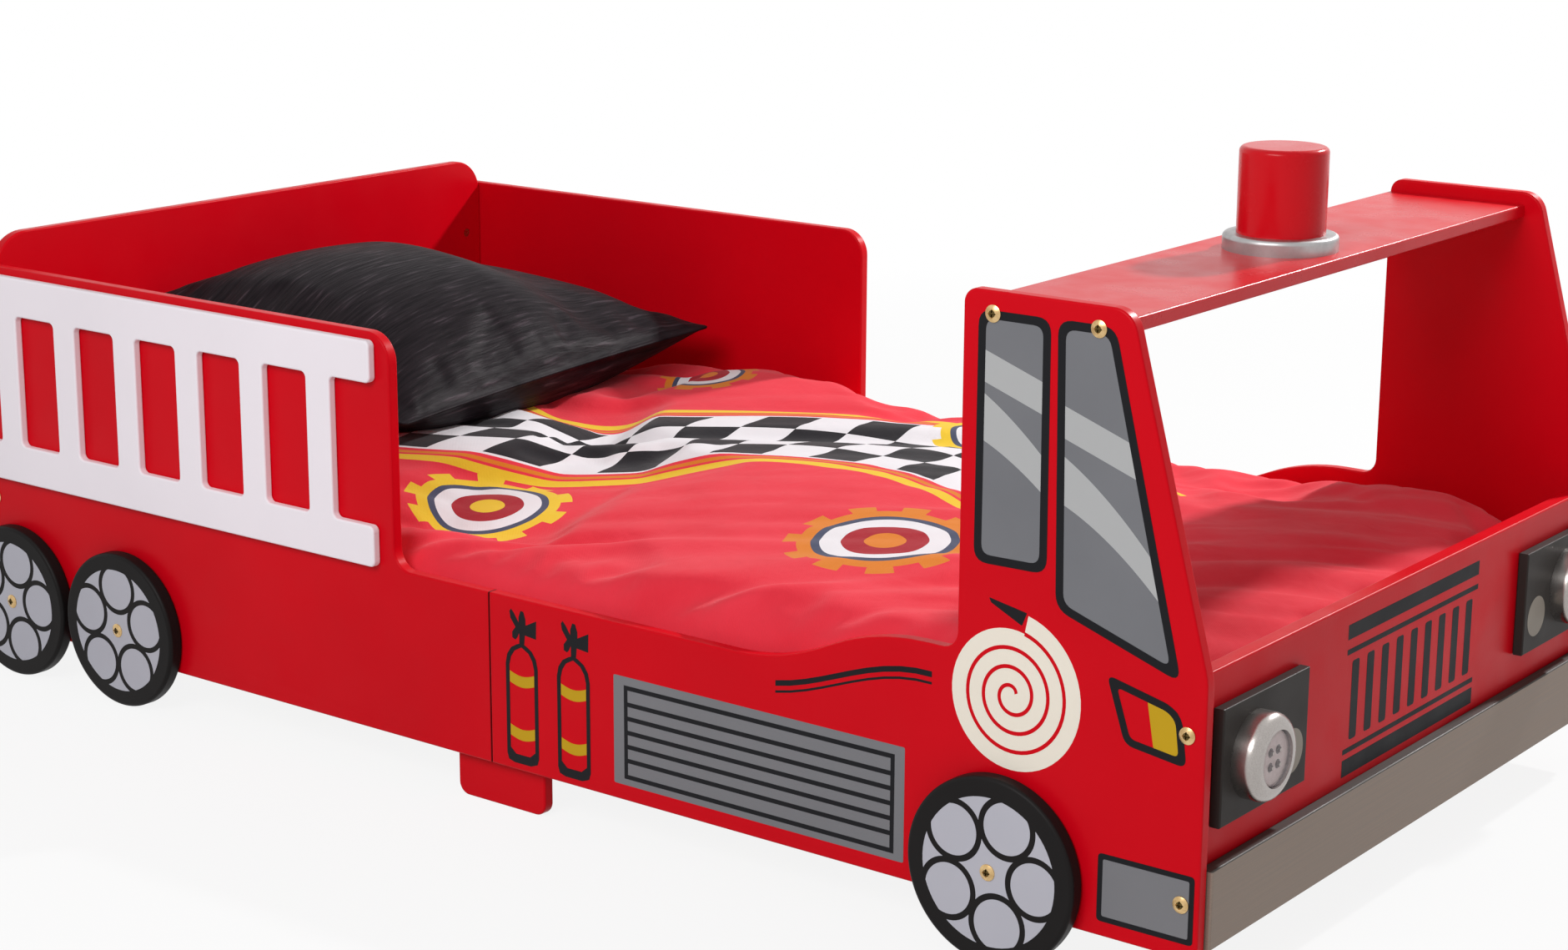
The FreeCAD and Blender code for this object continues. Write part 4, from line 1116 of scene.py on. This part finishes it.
def pillow_place(along, across, upper):
    """Where a point of the cover lies before it wrinkles, counted from -1 to 1 to the front and left."""
    x = PILLOW_MIDDLE[0] + along * PILLOW_CUT[0] / 2 * (1 - PILLOW_DRAW * (1 - across ** 2))
    y = PILLOW_MIDDLE[1] + across * PILLOW_CUT[1] / 2 * (1 - PILLOW_DRAW * (1 - along ** 2))
    rear, front = (right + (left - right) * (across + 1) / 2 for right, left in PILLOW_SEAM)
    seam = rear + (front - rear) * (along + 1) / 2
    if upper:
        near = ease((PILLOW_STEP_AT - y) / PILLOW_STEP_RUN)
        crown = PILLOW_FAR_UPPER + (PILLOW_UPPER - PILLOW_FAR_UPPER) * near
        return Vector((x, y, seam + PILLOW_SEAM_HALF + crown * swell(along, across)))
    rest = duvet_low.z + duvet_height(x, y) + PILLOW_CLEARANCE
    return Vector((x, y, max(seam - PILLOW_SEAM_HALF - PILLOW_LOWER * swell(along, across), rest)))


def make_pillow():
    cover = sewn_case("pillow_cover", *PILLOW_CUT, 0.004, PILLOW_CELLS)
    points = cover.data.vertices
    uppers = [point.co.z > 0 for point in points]
    rim = [face.index for face in cover.data.polygons if len({uppers[k] for k in face.vertices}) == 2]
    pins = cover.vertex_groups.new(name="sewn")
    start = []
    for point, upper in zip(points, uppers):
        along, across = (min(max(2 * point.co[k] / PILLOW_CUT[k], -1), 1) for k in range(2))
        point.co = pillow_place(along, across, upper)
        start.append(point.co.copy())
        hold = ease((max(abs(along), abs(across)) - 0.93) / 0.07) if upper else 1
        if hold > 0:
            pins.add([point.index], hold, "REPLACE")
    run_cloth(
        cover,
        PILLOW_FRAMES,
        pins,
        uniform_pressure_force=0.5,
        shrink_min=-0.008,
        bending_stiffness=4,
        tension_stiffness=15,
        compression_stiffness=15,
        shear_stiffness=5,
    )
    capped(points, start, PILLOW_CAP)
    for point in points:
        point.co.x = max(point.co.x, PILLOW_BACK)
    edit(cover, "FACE")
    choose(cover, "polygons", lambda face: face.index in rim)
    bpy.ops.object.mode_set(mode="EDIT")
    bpy.ops.mesh.extrude_region_shrink_fatten(TRANSFORM_OT_shrink_fatten={"value": PILLOW_WELT})
    bpy.ops.object.mode_set(mode="OBJECT")
    return cover


pillow = make_pillow()
smoothed(pillow)
dress(pillow, ribbed_satin(PILLOW_CUT))
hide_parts("pillow")
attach(pillow, "bed")

# Stage, light and camera
FLOOR_SIZE, FLOOR_DROP = 30, 0.0005
FLOOR_NEAR, FLOOR_FAR, FLOOR_GLOW = 1.2, 2.6, 0.88
ROOM_STRENGTH = 0.37
WHITE = (1, 1, 1, 1)
deselect()
bpy.ops.mesh.primitive_plane_add(size=FLOOR_SIZE, location=(0, 0, -FLOOR_DROP))
floor = bpy.context.object
floor.name = "studio_floor"


def seen_white(tree, glow, lit, output):
    """Show a white glow to camera, glossy and clear rays, and the lit surface or room to all others."""
    path = tree.nodes.new("ShaderNodeLightPath").outputs
    rays = [Reading(tree, path[f"Is {kind} Ray"]) for kind in ("Camera", "Glossy", "Transmission")]
    mix = tree.nodes.new("ShaderNodeMixShader")
    glow.inputs["Color"].default_value = WHITE
    glow.inputs["Strength"].default_value = 1
    tree.links.new(lit.outputs[0], mix.inputs[1])
    tree.links.new(glow.outputs[0], mix.inputs[2])
    tree.links.new(mix.outputs[0], tree.nodes[output].inputs["Surface"])
    return rays[0].either(rays[1]).either(rays[2]), mix.inputs[0]


def floor_finish():
    """Pale floor that reads white to the camera and still takes the bed's shadow."""
    finish = Finish("studio_floor_white", Roughness=0.9)
    finish.colour(finish.ramp(finish.noise(2), [(0.3, (0.62, 0.62, 0.62, 1)), (0.7, (0.65, 0.65, 0.65, 1))]))
    tree = finish.tree
    glow = tree.nodes.new("ShaderNodeEmission")
    seen, share = seen_white(tree, glow, finish.shader, "Material Output")
    x, y, z = finish.axes()
    far = finish.spread(x.reach(y), FLOOR_GLOW, 1, FLOOR_NEAR, FLOOR_FAR)
    tree.links.new((seen * far).socket, share)
    return finish.material


dress(floor, floor_finish())


def studio_world():
    """Soft grey room light, seen as white behind the bed."""
    world = bpy.data.worlds.new("studio_room")
    bpy.context.scene.world = world
    world.use_nodes = True
    tree = world.node_tree
    room = tree.nodes["Background"]
    room.inputs["Color"].default_value = (1, 0.985, 0.97, 1)
    room.inputs["Strength"].default_value = ROOM_STRENGTH
    white = tree.nodes.new("ShaderNodeBackground")
    seen, share = seen_white(tree, white, room, "World Output")
    tree.links.new(seen.socket, share)


studio_world()


def lamp(name, place, target, size, power):
    """A soft box aimed at a point."""
    light = bpy.data.lights.new(name, "AREA")
    light.shape = "RECTANGLE"
    light.size, light.size_y = size
    light.energy = power
    holder = bpy.data.objects.new(name, light)
    bpy.context.scene.collection.objects.link(holder)
    aim = Vector(target) - Vector(place)
    holder.matrix_world = Matrix.Translation(place) @ aim.to_track_quat("-Z", "Y").to_matrix().to_4x4()


lamp("side_softbox", (0.6, -2.9, 2.2), (0.3, -0.3, 0.25), (1.8, 1.2), 58)
lamp("window_light", (0.86, 2.25, 2.0), (0.5, 0.1, 0.25), (0.16, 0.16), 74)

CAMERA_PLACE = (1.7705, -2.261, 0.9714)
CAMERA_YAW, CAMERA_PITCH, CAMERA_ROLL = (math.radians(angle) for angle in (37.41, 14.17, 0.30))
PHOTO_WIDTH = 1880
FOCAL_PIXELS = 3544
camera = bpy.data.cameras.new("camera")
camera.sensor_fit = "HORIZONTAL"
camera.sensor_width = 36
camera.lens = FOCAL_PIXELS / PHOTO_WIDTH * camera.sensor_width
camera.clip_end = 60
stand = bpy.data.objects.new("camera", camera)
bpy.context.scene.collection.objects.link(stand)
turn = Matrix.Rotation(CAMERA_YAW, 4, "Z") @ Matrix.Rotation(math.pi / 2 - CAMERA_PITCH, 4, "X")
stand.matrix_world = Matrix.Translation(CAMERA_PLACE) @ turn @ Matrix.Rotation(CAMERA_ROLL, 4, "Z")
bpy.context.scene.camera = stand
bpy.context.scene.view_settings.view_transform = "Standard"

bpy.context.view_layer.update()
